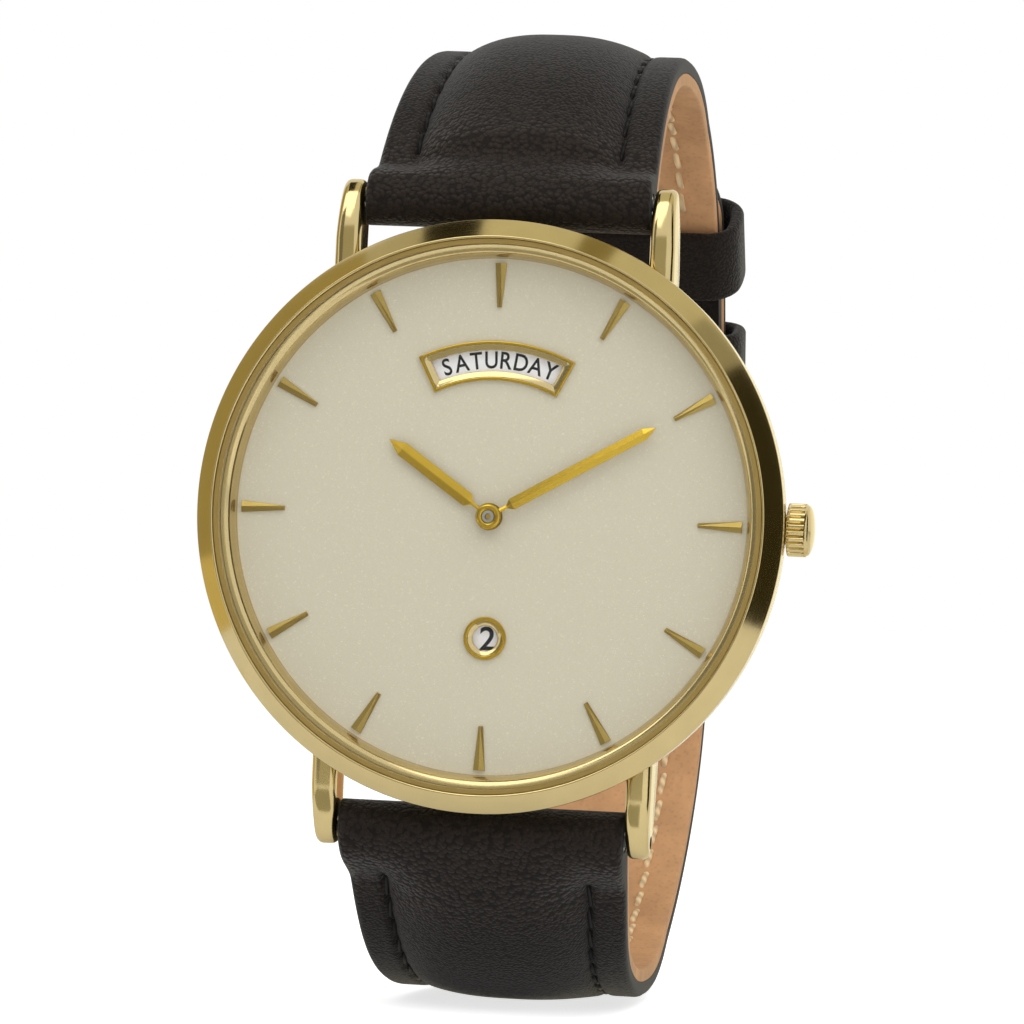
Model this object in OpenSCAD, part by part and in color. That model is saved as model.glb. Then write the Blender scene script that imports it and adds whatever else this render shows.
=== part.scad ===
// Slim two-hand wristwatch with day and date windows, on a padded leather strap closed by a pin buckle.
// X runs along the wrist towards three o'clock, Z towards twelve o'clock, and the dial faces -Y.
// The origin is the middle of the wrist opening. Millimetres.

/* [Wrist opening] */
// Height of the opening inside the closed strap
wrist_h = 63; // [56:0.5:76]
// Depth of the opening, from the case back to the lining behind it
wrist_d = 50; // [44:0.5:62]
// Squareness of the loop: 2 is an ellipse
loop_power = 2.4; // [2:0.1:2.8]

/* [Case] */
// Diameter of the case at the foot of the bezel
case_d = 40; // [39:0.5:50]
// Height of the case middle's upright side
side_h = 1.5; // [1:0.1:2]
// Radial inset of the case middle's underside
undercut = 2.6; // [2:0.1:2.7]
// Height of the case middle's underside above the case back's face
skirt_z = 0.35; // [0.2:0.05:0.5]
// Radial width of the bezel's slope
bezel_w = 1.15; // [0.9:0.05:1.4]
// Width of the bezel's narrow flat top
bezel_top_w = 0.2; // [0.15:0.05:0.3]
// Height of the bezel's slope
bezel_h = 2.05; // [1.9:0.05:2.2]
// Height of the bezel's foot above the dial
bezel_lift = 0.15; // [0.1:0.05:0.3]
// Thickness of the crystal
crystal_t = 1; // [0.9:0.05:1.2]
// Radial thickness of the crystal gasket
crystal_gasket_t = 0.35; // [0.25:0.05:0.45]
// Thickness of the case back
back_t = 0.75; // [0.6:0.05:1]
// Width of the ledge that the case back's gasket seals on
back_ledge = 0.45; // [0.4:0.05:0.6]
// Height of the case back's gasket
back_gasket_h = 0.5; // [0.4:0.05:0.6]

/* [Lugs and spring bars] */
// Width of a lug
lug_w = 1.5; // [1.2:0.1:2.2]
// Height of a lug's top above its spring bar
lug_rise = 2.3; // [2:0.1:2.6]
// Depth of a lug's underside below its spring bar
lug_drop = 1.35; // [1.2:0.05:1.5]
// Reach of a lug beyond its spring bar
lug_reach = 1.3; // [1.1:0.1:2]
// Distance of a spring bar's axis beyond the bezel's foot
bar_out = 1.5; // [1.4:0.1:3]
// Height of a spring bar's axis above the case back's face
bar_z = 1.75; // [1.6:0.05:2]
// Radius of a spring bar's tube
bar_r = 0.75; // [0.6:0.05:0.85]
// Radius of a spring bar's pins
bar_pin_r = 0.4; // [0.3:0.05:0.45]

/* [Dial] */
// Thickness of the dial
dial_t = 0.4; // [0.3:0.05:0.6]
// Width of the dial's rim that lies under the dial ring
dial_rim = 0.5; // [0.4:0.05:0.8]
// Space between the dial and the crystal
hand_space = 1.3; // [1.25:0.05:1.6]
// Gap between the hour markers' outer ends and the dial ring
marker_gap = 0.32; // [0.1:0.02:0.6]
// Length of an hour marker
marker_len = 2.97; // [2:0.01:3.2]
// Width of an hour marker at its outer end
marker_out_w = 0.78; // [0.5:0.02:1]
// Width of an hour marker at its inner end
marker_in_w = 0.3; // [0.2:0.02:0.5]
// Height of an hour marker's ridge
marker_h = 0.3; // [0.2:0.02:0.4]
// Height of the window frames above the dial
frame_h = 0.28; // [0.2:0.02:0.35]
// Inner radius of the day window
day_r1 = 9.6; // [9.5:0.05:9.8]
// Outer radius of the day window
day_r2 = 11.45; // [11.2:0.05:11.6]
// Half angle of the day window
day_half = 24.5; // [22:0.5:25]
// Width of the day window's frame
day_frame_w = 0.4; // [0.3:0.02:0.5]
// Radius of the date window
date_r = 0.95; // [0.85:0.05:1]
// Width of the date window's frame
date_frame_w = 0.5; // [0.3:0.05:0.6]
// Distance of the date window from the dial's centre
date_out = 8.2; // [8.1:0.05:8.25]

/* [Hands] */
// Length of the hour hand
hour_len = 8.6; // [7:0.1:9]
// Width of the hour hand
hour_w = 1; // [0.6:0.02:1.2]
// Length of the minute hand
minute_len = 12.8; // [11:0.1:13.8]
// Width of the minute hand
minute_w = 0.8; // [0.5:0.02:1]
// Minutes past ten that the hands show
shown_minute = 10; // [0:1:59]

/* [Movement] */
// Diameter of the movement
move_d = 26; // [25.6:0.2:28]
// Height of the space for the train, under the main plate
train_h = 1.7; // [1.7:0.05:2]
// Thickness of the main plate
plate_t = 1.15; // [1.15:0.05:1.4]
// Space between the main plate and the dial
calendar_h = 0.45; // [0.45:0.05:0.6]
// Thickness of a calendar disc
disc_t = 0.12; // [0.08:0.01:0.15]
// Diameter of the battery
battery_d = 6.8; // [5.8:0.1:7]
// Height of the battery
battery_h = 2.1; // [1.6:0.05:2.15]

/* [Crown and stem] */
// Diameter of the crown
crown_d = 3.6; // [3:0.1:4]
// Length of the crown
crown_len = 1.6; // [1.4:0.1:2]
// Number of flutes round the crown
crown_flutes = 24; // [16:1:30]
// How far the crown pulls out
crown_travel = 1.2; // [0.8:0.1:1.2]
// Height of the stem's axis above the case back's face
stem_z = 2.5; // [2.4:0.05:2.6]
// Radius of the stem
stem_r = 0.55; // [0.45:0.05:0.6]
// Radius of the crown tube
tube_r = 1; // [0.85:0.05:1.05]

/* [Strap] */
// Width of the strap between the lugs
strap_w = 19.5; // [18:0.5:24]
// Width of the strap at the buckle
strap_end_w = 16; // [14:0.5:20]
// Distance from the spring bar over which the strap narrows
taper_len = 44; // [30:1:60]
// Thickness of the outer leather
leather_t = 1.1; // [1:0.05:1.3]
// Thickness of the lining
lining_t = 0.9; // [0.8:0.05:1.1]
// Height of the padding beside the lugs
pad_h = 2.2; // [1.4:0.1:2.4]
// Width of the flat margin outside the padding
margin_w = 2.3; // [1.8:0.1:3]
// Distance from the spring bar at which the upper strap's padding ends
upper_pad_end = 42; // [34:1:44]
// Distance from the spring bar at which the lower strap's padding ends
lower_pad_end = 36; // [34:1:60]
// Distance along the upper strap from spring bar to buckle bar
upper_len = 74.5; // [68:0.5:80]
// Length of the leather folded back round the buckle bar
fold_len = 18; // [18:1:24]
// Length of the strap tail beyond the buckle bar
tail_len = 27; // [25:0.5:28]
// Length of the tail's rounded point
tip_len = 8; // [6:0.5:9]
// Radius of the buckle holes
hole_r = 0.9; // [0.7:0.05:1]
// Spacing of the buckle holes
hole_step = 6.5; // [6.2:0.1:7]
// Width of a keeper along the strap
keeper_w = 6; // [5:0.5:6.5]
// Thickness of a keeper's leather
keeper_t = 1.1; // [0.8:0.1:1.3]
// Distance from buckle bar to the middle of the fixed keeper
fixed_keeper_out = 7.7; // [7.5:0.1:8]
// Distance from buckle bar to the middle of the free keeper
free_keeper_out = 17; // [16.8:0.1:18]

/* [Buckle] */
// Distance from buckle bar to the crossbar that the tongue rests on
buckle_len = 8.5; // [8:0.1:10]
// Height of the crossbar over the buckle bar
crossbar_rise = 0.6; // [0.5:0.05:0.9]
// Radius of the crossbar
crossbar_r = 0.9; // [0.7:0.05:1]
// Width of a buckle arm
arm_w = 1.7; // [1.4:0.1:2.2]
// Radius of a buckle arm's end round the bar
arm_r = 1.3; // [1.2:0.05:1.6]
// Width of the tongue
tongue_w = 1.8; // [1.4:0.1:2.2]
// Radius of the tongue's eye
eye_r = 1.4; // [1.3:0.05:1.5]
// Thickness of the tongue
tongue_t = 0.65; // [0.5:0.05:0.7]

/* [Clearances] */
// Gap between pieces seated in each other
seat = 0.02; // [0.01:0.01:0.05]
// Radial gap of a running fit
run = 0.05; // [0.03:0.01:0.08]
// Gap between the strap and a lug
lug_play = 0.15; // [0.1:0.05:0.4]
// Gap between leather pieces that lie on each other
lay = 0.2; // [0.15:0.05:0.3]
// Gap between a keeper and the strap inside it
keeper_play = 0.4; // [0.35:0.05:0.6]
// Gap beside the tongue in the leather
tongue_play = 0.25; // [0.2:0.05:0.4]

/* [Hidden] */
$fn = 64;

gold = "#c9a54a";
steel = "#b9bcc0";
brass = "#b89b4e";
cream = "#d8d1bb";
black_leather = "#1d1b1b";
tan_leather = "#c8925f";

// Heights in the case, measured from the case back's face towards the crystal
bridge_z = back_t + 0.15;
bridge_t = 0.25;
stator_z = bridge_z + 0.35;
stator_t = 0.4;
third_z = stator_z + 0.55;
centre_z = third_z + 0.4;
wheel_t = 0.15;
plate_z = bridge_z + train_h - 0.05;
plate_top = plate_z + plate_t;
works_z = plate_z + 0.4;
disc_z = plate_top + 0.05;
guard_z = disc_z + disc_t + run;
guard_t = 0.1;
dial_z = plate_top + calendar_h;
dial_top = dial_z + dial_t;
hour_z = dial_top + 0.4;
minute_z = hour_z + 0.35;
crystal_z = dial_top + hand_space;
crystal_top = crystal_z + crystal_t;
seam_z = dial_top + bezel_lift;
bezel_top = seam_z + bezel_h;

// Radii of the case, from the outside in
case_r = case_d / 2;
bezel_r = case_r - bezel_w - bezel_top_w;
crystal_r = bezel_r - crystal_gasket_t;
collar_r = bezel_r - seat;
collar_t = 0.7;
dial_r = collar_r - collar_t - seat;
dial_show_r = dial_r - dial_rim;
back_r = case_r - undercut - 0.5;
cavity_r = back_r - back_ledge;
move_r = move_d / 2;
marker_r = dial_show_r - marker_gap;
collar_h = 0.6;
ring_lip_z = seam_z + collar_h + seat;

// Places of the spring bars and of the crown
bar_y = case_r + bar_out;
lug_in = strap_w / 2 + lug_play;
bar_hole_r = bar_pin_r + run;
crown_x = case_r + 0.15;
crown_r = crown_d / 2;
crown_hollow_r = tube_r + 0.3;
crown_hollow = crown_len / 2;
stem_square = 1.34 * stem_r;

// Gear train: module and teeth of each mesh, with the wheels placed where the pitch circles touch
motion_module = 0.125;
cannon_teeth = 12;
minute_teeth = 36;
motion_gap = motion_module * (cannon_teeth + minute_teeth) / 2;
minute_pinion_teeth = 10;
hour_teeth = 40;
hour_module = 2 * motion_gap / (minute_pinion_teeth + hour_teeth);
centre_teeth = 72;
third_pinion_teeth = 8;
centre_module = 0.1;
third_gap = centre_module * (centre_teeth + third_pinion_teeth) / 2;
third_teeth = 60;
rotor_teeth = 6;
third_module = 0.09;
rotor_gap = third_module * (third_teeth + rotor_teeth) / 2;
minute_dir = 90;
third_dir = 120;
rotor_dir = 150;
minute_at = motion_gap * [cos(minute_dir), sin(minute_dir)];
third_at = third_gap * [cos(third_dir), sin(third_dir)];
rotor_at = third_at + rotor_gap * [cos(rotor_dir), sin(rotor_dir)];

// Arbors and tubes at the dial's centre
arbor_r = 0.19;
cannon_r = 0.4;
hour_tube_in = cannon_r + run;
hour_tube_r = hour_tube_in + 0.17;
hour_boss_r = 0.92;
minute_boss_r = 0.86;
cannon_top = minute_z + 0.3;
magnet_r = 0.75;
pivot_r = 0.15;
post_r = 0.2;

// Places on the main plate
battery_at = [-5.6, -6];
bridge_posts = [[3.7, 2.8], [-7.2, 3], [-1.2, -4.4]];
guard_posts = [[4.3, -2.6], [-4.3, -2.6]];
post_out_r = 0.65;
screw_r = 0.3;
screw_head_r = 0.6;
screw_head_t = 0.1;
clip_post = [-0.2, -8.6];
lever_x = 11;
lever_y = 3;
lever_t = 0.2;
lever_post_r = 0.25;
lever_pin_r = 0.22;
groove_half = 0.36;
groove_r = stem_r - 0.2;
clutch_x = 8.6;
clutch_len = 1.2;
clutch_r = 0.82;
stem_square_x = clutch_x - crown_travel - 0.4;
stem_pivot_r = 0.3;
stem_pivot_len = 0.7;
stem_round_x = clutch_x + clutch_len + 0.5;
coil_y = 8.6;
coil_x1 = -7;
coil_x2 = 1;
feet_dir = 50;
foot_r = 0.3;
foot_out = move_r - foot_r - 0.15;
day_disc_r1 = day_r1 + 0.15;
day_disc_r2 = day_r2 + 0.5;
date_disc_r2 = date_out + date_r + 0.1;
date_disc_r1 = date_out - date_r - 0.5;
date_tooth_h = 0.4;

// The strap runs along a rounded loop in the YZ plane that passes through both spring bars
strap_t = leather_t + lining_t;
bar_at = [-wrist_d / 2 - bar_z, bar_y];
loop_back = wrist_d / 2 + strap_t;
loop_b = wrist_h / 2 + strap_t;
loop_side = pow(1 - pow(bar_at[1] / loop_b, loop_power), 1 / loop_power);
loop_a = (loop_back - bar_at[0]) / (1 + loop_side);
loop_y = loop_back - loop_a;

function signed_power(v, p) = sign(v) * pow(abs(v), p);
function loop_point(t) =
    [loop_y + loop_a * signed_power(cos(t), 2 / loop_power), loop_b * signed_power(sin(t), 2 / loop_power)];
function loop_slope(p) =
    [signed_power((p[0] - loop_y) / loop_a, loop_power - 1) / loop_a,
    signed_power(p[1] / loop_b, loop_power - 1) / loop_b];
function loop_normal(p) = loop_slope(p) / norm(loop_slope(p));

// Length along the loop against its angle, counted from a little before the upper spring bar
bar_angle = acos(-pow(loop_side, loop_power / 2));
first_angle = bar_angle + 12;
last_angle = -bar_angle - 12;
loop_steps = 300;
function loop_angle(i) = first_angle + (last_angle - first_angle) * i / loop_steps;
function step_len(i) = norm(loop_point(loop_angle(i + 1)) - loop_point(loop_angle(i)));
loop_table = [for (i = 0, s = 0; i <= loop_steps; s = s + step_len(i), i = i + 1) [s, loop_angle(i)]];
angle_table = [for (row = loop_table) [-row[1], row[0]]];
bar_s = lookup(-bar_angle, angle_table);
loop_len = lookup(bar_angle, angle_table) - bar_s;
lower_len = loop_len - upper_len;

// Point and outward normal at a distance s along the loop from the upper spring bar
function strap_point(s) = loop_point(lookup(s + bar_s, loop_table));
function strap_normal(s) = loop_normal(strap_point(s));

// Smooth step from 0 at a to 1 at b
function ease(s, a, b) = let (x = min(1, max(0, (s - a) / (b - a)))) x * x * (3 - 2 * x);

// Half width, padding height, and rounded ends of the strap at a distance s from a spring bar
function half_width(s) = (strap_w + (strap_end_w - strap_w) * min(1, max(0, s / taper_len))) / 2;
function pad_at(s, pad_end) = pad_h * ease(s, 2.5, 7) * (1 - ease(s, pad_end * 0.2, pad_end));
function pad_shape(q) = pow(1 - pow(abs(q), 3.2), 0.75);
function margin_at(w) = min(margin_w, 0.3 * w);
function roll_edge(d) = sqrt(max(0, strap_t * strap_t - d * d));

// Places across the strap: both edges, the margins and nine points over the padding
pad_places = [-1, -0.92, -0.75, -0.45, 0, 0.45, 0.75, 0.92, 1];
function pad_w(w) = w - margin_at(w) - 0.1 * min(4, w);
function across(w) = concat([-w, -w + margin_at(w)], pad_w(w) * pad_places, [w - margin_at(w), w]);
pad_profile = concat([0, 0], [for (q = pad_places) pad_shape(q)], [0, 0]);

// Cross-sections are lists of [across, out] from the inner face's left edge round to the outer face
function band(w, low, high) = [[-w, low], [w, low], [w, high], [-w, high]];
function layer(w, low, low_pad, high, high_pad) =
    let (x = across(w), n = len(x) - 1)
    concat([for (i = [0:n]) [x[i], low + low_pad * pad_profile[i]]],
        [for (i = [n:-1:0]) [x[i], high + high_pad * pad_profile[i]]]);
function filling(w, low, high_pad) =
    let (n = len(pad_places) - 1)
    concat([[-pad_w(w), low], [pad_w(w), low]],
        [for (i = [n - 1:-1:1]) [pad_w(w) * pad_places[i], low + high_pad * pad_shape(pad_places[i])]]);

// A cross-section set square to the strap at s, on the upper strap or mirrored onto the lower one
function placed(s, section, side) =
    let (p = strap_point(s), n = strap_normal(s))
    [for (q = section) [q[0], p[0] + q[1] * n[0], side * (p[1] + q[1] * n[1])]];

// Closed skin over rings of equally many points
module skin(rings, flip = false) {
    m = len(rings[0]);
    last = len(rings) - 1;
    sides = [for (i = [0:last - 1], j = [0:m - 1])
        let (a = i * m + j, b = i * m + (j + 1) % m)
        each [[a, b, b + m], [a, b + m, a + m]]];
    cap = [for (i = [0:ceil(m / 2) - 2])
        let (c = m - 2 - i)
        each i + 1 == c ? [[i, c, c + 1]] : [[i, i + 1, c], [i, c, c + 1]]];
    first_cap = [for (f = cap) [f[2], f[1], f[0]]];
    last_cap = [for (f = cap) [f[0] + last * m, f[1] + last * m, f[2] + last * m]];
    faces = concat(sides, first_cap, last_cap);
    turned = [for (f = faces) [for (j = [len(f) - 1:-1:0]) f[j]]];
    polyhedron(points = [for (r = rings) each r], faces = flip ? turned : faces, convexity = 8);
}

// The watch head is drawn dial up, with twelve o'clock along +Y, and stood up here
module head() {
    translate([0, -wrist_d / 2, 0]) rotate([90, 0, 0]) children();
}

// Local frame on the strap: X across, Y along the strap, Z outwards
module on_strap(s) {
    p = strap_point(s);
    n = strap_normal(s);
    translate([0, p[0], p[1]]) rotate([atan2(-n[0], n[1]), 0, 0]) children();
}

module along_x(x, y, z) {
    translate([x, y, z]) rotate([0, 90, 0]) children();
}

module ring(r1, r2, z1, z2) {
    rotate_extrude() translate([r1, z1]) square([r2 - r1, z2 - z1]);
}

module sector(r1, r2, half, z1, z2) {
    rotate([0, 0, 90 - half]) rotate_extrude(angle = 2 * half) translate([r1, z1]) square([r2 - r1, z2 - z1]);
}

module disc(at, r, z1, z2) {
    translate([at[0], at[1], z1]) cylinder(r = r, h = z2 - z1);
}

// Outline with teeth between two radii, slim enough to leave backlash
tooth_shape = [[-0.26, 0], [-0.12, 1], [0.12, 1], [0.26, 0]];
function toothed(teeth, r_root, r_tip) =
    [for (i = [0:teeth - 1], q = tooth_shape)
        let (a = 360 * (i + q[0]) / teeth, r = r_root + (r_tip - r_root) * q[1])
        [r * cos(a), r * sin(a)]];

module gear(at, turn, teeth, module_mm, bore, z1, z2) {
    pitch_r = teeth * module_mm / 2;
    translate([at[0], at[1], z1]) rotate([0, 0, turn]) linear_extrude(z2 - z1) difference() {
        polygon(toothed(teeth, pitch_r - 1.1 * module_mm, pitch_r + 0.85 * module_mm));
        circle(bore);
    }
}

// Case

module lug() {
    shoulder = case_r - 1.5;
    reach = bar_y + lug_reach - shoulder;
    root = case_r * 0.6;
    tip = [for (a = [90:-10:-70])
        [shoulder + reach * cos(a), bar_z + (a > 0 ? lug_rise : lug_drop) * sin(a)]];
    outline = concat([[root, skirt_z + 0.4], [root, bar_z + lug_rise]], tip,
        [[shoulder - 1.5, skirt_z + 0.3]]);
    translate([lug_in, 0, 0]) rotate([90, 0, 90]) linear_extrude(lug_w) polygon(outline);
}

module case_middle() {
    side_z = seam_z - side_h;
    side_r = case_r - 0.08;
    chamfer = 0.27;
    outside = [[0, skirt_z], [case_r - undercut, skirt_z], [side_r - chamfer, side_z - chamfer],
        [side_r, side_z], [side_r, seam_z - seat], [collar_r, seam_z - seat],
        [collar_r, seam_z + collar_h], [0, seam_z + collar_h]];
    inside = [[0, -1], [back_r + seat, -1], [back_r + seat, back_t + back_gasket_h],
        [cavity_r, back_t + back_gasket_h], [cavity_r, dial_z], [dial_r + seat, dial_z],
        [dial_r + seat, seam_z + 2], [0, seam_z + 2]];
    color(gold) head() difference() {
        union() {
            rotate_extrude() polygon(outside);
            for (sx = [0, 1], sy = [0, 1])
                mirror([sx, 0, 0]) mirror([0, sy, 0]) lug();
        }
        rotate_extrude() polygon(inside);
        along_x(0, 0, stem_z) cylinder(r = tube_r + seat, h = case_r + 1);
        for (sy = [-1, 1])
            along_x(-case_r, sy * bar_y, bar_z) cylinder(r = bar_hole_r, h = case_d);
    }
}

module bezel() {
    edge = 0.08;
    profile = [[bezel_r, seam_z], [case_r - edge, seam_z], [case_r, seam_z + edge],
        [case_r - bezel_w + edge / 2, bezel_top - edge], [case_r - bezel_w - edge / 2, bezel_top],
        [bezel_r + edge, bezel_top], [bezel_r, bezel_top - edge]];
    color(gold) head() rotate_extrude() polygon(profile);
}

module crystal() {
    bevel = 0.2;
    profile = [[0, crystal_z], [crystal_r, crystal_z], [crystal_r, crystal_top - bevel],
        [crystal_r - bevel, crystal_top], [0, crystal_top]];
    color("#e8eef0", 0.3) head() rotate_extrude() polygon(profile);
}

module crystal_gasket() {
    color("#ddd8c8") head()
        ring(crystal_r + seat, bezel_r - seat, seam_z + collar_h + seat, bezel_top - 0.12);
}

// Sloping ring between dial and crystal
module dial_ring() {
    foot_h = 0.12;
    lip = 0.13;
    rim_r = crystal_r - seat;
    profile = [[dial_show_r, dial_top], [dial_r, dial_top], [dial_r, ring_lip_z], [rim_r, ring_lip_z],
        [rim_r, crystal_z - seat], [rim_r - lip, crystal_z - seat], [dial_show_r + 0.05, dial_top + foot_h]];
    color(gold) head() rotate_extrude() polygon(profile);
}

module case_back() {
    edge = 0.25;
    step_r = back_r - 0.6;
    profile = [[0, 0], [step_r - edge, 0], [step_r, edge], [back_r, edge + 0.1], [back_r, back_t],
        [0, back_t]];
    color(steel) head() rotate_extrude() polygon(profile);
}

module case_back_gasket() {
    color("#2b2b2b") head()
        ring(cavity_r + seat, back_r - seat, back_t + seat, back_t + back_gasket_h - seat);
}

// Crown and keyless works

module crown_tube() {
    tube_x = cavity_r - 0.3;
    color(brass) head() difference() {
        along_x(tube_x, 0, stem_z) cylinder(r = tube_r, h = crown_x + crown_hollow - 0.1 - tube_x);
        along_x(0, 0, stem_z) cylinder(r = stem_r + run, h = case_d);
    }
}

module crown() {
    edge = 0.1;
    wall_len = crown_len - 0.55;
    dome = [for (a = [0:10:90])
        [(crown_r - edge) * cos(a), wall_len + edge + (crown_len - wall_len - edge) * sin(a)]];
    profile = concat([[0, crown_hollow], [crown_hollow_r, crown_hollow], [crown_hollow_r, 0],
        [crown_r - edge, 0], [crown_r, edge], [crown_r, wall_len]], dome);
    flute_r = 0.5 * PI * crown_r / crown_flutes;
    color(gold) head() along_x(crown_x, 0, stem_z) difference() {
        rotate_extrude() polygon(profile);
        cylinder(r = stem_r + seat, h = crown_hollow + 0.4);
        for (i = [0:crown_flutes - 1])
            rotate([0, 0, 360 * i / crown_flutes]) translate([crown_r + flute_r / 3, 0, edge])
                cylinder(r = flute_r, h = wall_len - edge);
    }
}

module crown_gasket() {
    color("#2b2b2b") head() along_x(crown_x, 0, stem_z)
        ring(tube_r + run, crown_hollow_r - seat, 0.1, 0.45);
}

module stem() {
    end_x = crown_x + crown_hollow + 0.4 - seat;
    half = stem_square / 2;
    color(steel) head() difference() {
        union() {
            along_x(stem_square_x - stem_pivot_len, 0, stem_z)
                cylinder(r = stem_pivot_r, h = stem_pivot_len + 0.1);
            translate([stem_square_x, -half, stem_z - half])
                cube([stem_round_x - stem_square_x + 0.1, stem_square, stem_square]);
            along_x(stem_round_x, 0, stem_z) cylinder(r = stem_r, h = end_x - stem_round_x);
        }
        along_x(lever_x - groove_half, 0, stem_z) ring(groove_r, stem_r + 1, 0, 2 * groove_half);
    }
}

module clutch_wheel() {
    hole = stem_square + run;
    color(steel) head() along_x(clutch_x, 0, stem_z) linear_extrude(clutch_len) difference() {
        polygon(toothed(14, clutch_r - 0.16, clutch_r));
        square([hole, hole], center = true);
    }
}

// Lever whose pin rides in the stem's groove
module setting_lever() {
    lever_z = stem_z + stem_r + 0.07;
    pin_z = stem_z + groove_r + 0.08;
    color(steel) head() difference() {
        union() {
            disc([lever_x, lever_y], 0.6, lever_z, lever_z + lever_t);
            translate([lever_x - 0.35, 0, lever_z]) cube([0.7, lever_y, lever_t]);
            disc([lever_x, 0], 0.35, lever_z, lever_z + lever_t);
            disc([lever_x, 0], lever_pin_r, pin_z, lever_z + lever_t);
        }
        disc([lever_x, lever_y], lever_post_r + run, lever_z - 1, lever_z + 1);
    }
}

// Dial

module dial() {
    color(cream) head() {
        difference() {
            disc([0, 0], dial_r, dial_z, dial_top);
            disc([0, 0], hour_tube_r + 0.15, dial_z - 1, dial_top + 1);
            sector(day_r1, day_r2, day_half, dial_z - 1, dial_top + 1);
            disc([0, -date_out], date_r, dial_z - 1, dial_top + 1);
        }
        for (a = [feet_dir, feet_dir + 180])
            disc(foot_out * [cos(a), sin(a)], foot_r, plate_z + 0.3, dial_z);
    }
}

// Roof-shaped bar along Y, through stations of [distance, half width, edge height, ridge height]
module faceted_bar(stations) {
    skin([for (q = stations)
        [[-q[1], q[0], 0], [q[1], q[0], 0], [q[1], q[0], q[2]], [0, q[0], q[3]], [-q[1], q[0], q[2]]]]);
}

module hour_markers() {
    edge = marker_h * 0.4;
    color(gold) head() for (hour = [1:12])
        rotate([0, 0, -30 * hour]) translate([0, 0, dial_top])
            faceted_bar([[marker_r - marker_len, marker_in_w / 2, edge, marker_h],
                [marker_r, marker_out_w / 2, edge, marker_h]]);
}

module day_window_frame() {
    side = day_frame_w / day_r1 * 180 / PI;
    color(gold) head() difference() {
        sector(day_r1 - day_frame_w, day_r2 + day_frame_w, day_half + side, dial_top, dial_top + frame_h);
        sector(day_r1, day_r2, day_half, dial_top - 1, dial_top + 1);
    }
}

module date_window_frame() {
    r2 = date_r + date_frame_w;
    bevel = 0.3;
    profile = [[date_r, 0], [r2, 0], [r2, frame_h * 0.6], [r2 - bevel / 3, frame_h],
        [date_r + bevel, frame_h], [date_r, frame_h * 0.2]];
    color(gold) head() translate([0, -date_out, dial_top]) rotate_extrude() polygon(profile);
}

// Hand with a round boss, a thin neck and a two-sided blade that ends in a point
module hand(length, w, boss_r, bore_r, z, angle) {
    neck = 0.13;
    hand_t = 0.18;
    color(gold) head() rotate([0, 0, -angle]) translate([0, 0, z]) {
        ring(bore_r + seat / 2, boss_r, 0, hand_t);
        faceted_bar([[boss_r - 0.15, neck, 0.06, 0.14], [boss_r + 0.55, neck, 0.06, 0.14],
            [boss_r + 0.95, w / 2, 0.05, hand_t], [length - 1.1 * w, w / 2, 0.05, hand_t],
            [length, 0.02, 0.05, 0.1]]);
    }
}

module hour_hand() {
    hand(hour_len, hour_w, hour_boss_r, hour_tube_r, hour_z, 30 * (10 + shown_minute / 60));
}

module minute_hand() {
    hand(minute_len, minute_w, minute_boss_r, cannon_r, minute_z, 6 * shown_minute);
}

// Motion work and going train

module hour_wheel() {
    color(brass) head() {
        gear([0, 0], minute_dir, hour_teeth, hour_module, hour_tube_in, works_z + 0.41, works_z + 0.59);
        ring(hour_tube_in, hour_tube_r, works_z + 0.5, hour_z + 0.18);
    }
}

module cannon_pinion() {
    color(steel) head() {
        gear([0, 0], minute_dir, cannon_teeth, motion_module, arbor_r + seat, works_z + 0.05, works_z + 0.35);
        ring(arbor_r + seat, cannon_r, works_z + 0.2, cannon_top);
    }
}

module centre_wheel() {
    color(brass) head() {
        gear([0, 0], third_dir, centre_teeth, centre_module, arbor_r / 2, centre_z, centre_z + wheel_t);
        disc([0, 0], arbor_r, bridge_z + 0.05, cannon_top - 0.15);
    }
}

module minute_wheel() {
    half_tooth = 180 / minute_teeth;
    half_pinion_tooth = 180 / minute_pinion_teeth;
    color(brass) head() {
        gear(minute_at, minute_dir + 180 + half_tooth, minute_teeth, motion_module, post_r + run,
            works_z + 0.1, works_z + 0.3);
        gear(minute_at, minute_dir + 180 + half_pinion_tooth, minute_pinion_teeth, hour_module, post_r + run,
            works_z + 0.25, works_z + 0.65);
    }
}

module third_wheel() {
    half_tooth = 180 / third_pinion_teeth;
    color(brass) head() {
        gear(third_at, rotor_dir, third_teeth, third_module, pivot_r / 2, third_z, third_z + wheel_t);
        gear(third_at, third_dir + 180 + half_tooth, third_pinion_teeth, centre_module, pivot_r / 2,
            centre_z - 0.07, centre_z + wheel_t + 0.07);
        disc(third_at, pivot_r, bridge_z + 0.05, plate_z + 0.3);
    }
}

module rotor() {
    half_tooth = 180 / rotor_teeth;
    color("#55585c") head() {
        gear(rotor_at, rotor_dir + 180 + half_tooth, rotor_teeth, third_module, pivot_r / 2,
            third_z - 0.05, third_z + wheel_t + 0.05);
        disc(rotor_at, magnet_r, stator_z + seat, stator_z + stator_t - seat);
        disc(rotor_at, pivot_r, bridge_z + 0.05, plate_z + 0.3);
    }
}

// Calendar

module day_disc() {
    color("#f2efe6") head() translate([0, 0, disc_z]) linear_extrude(disc_t) difference() {
        circle(day_disc_r2);
        polygon(toothed(14, day_disc_r1, day_disc_r1 - 0.25));
    }
}

module date_disc() {
    color("#f2efe6") head() translate([0, 0, disc_z]) linear_extrude(disc_t) difference() {
        circle(date_disc_r2);
        polygon(toothed(31, date_disc_r1 + date_tooth_h, date_disc_r1));
    }
}

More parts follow.
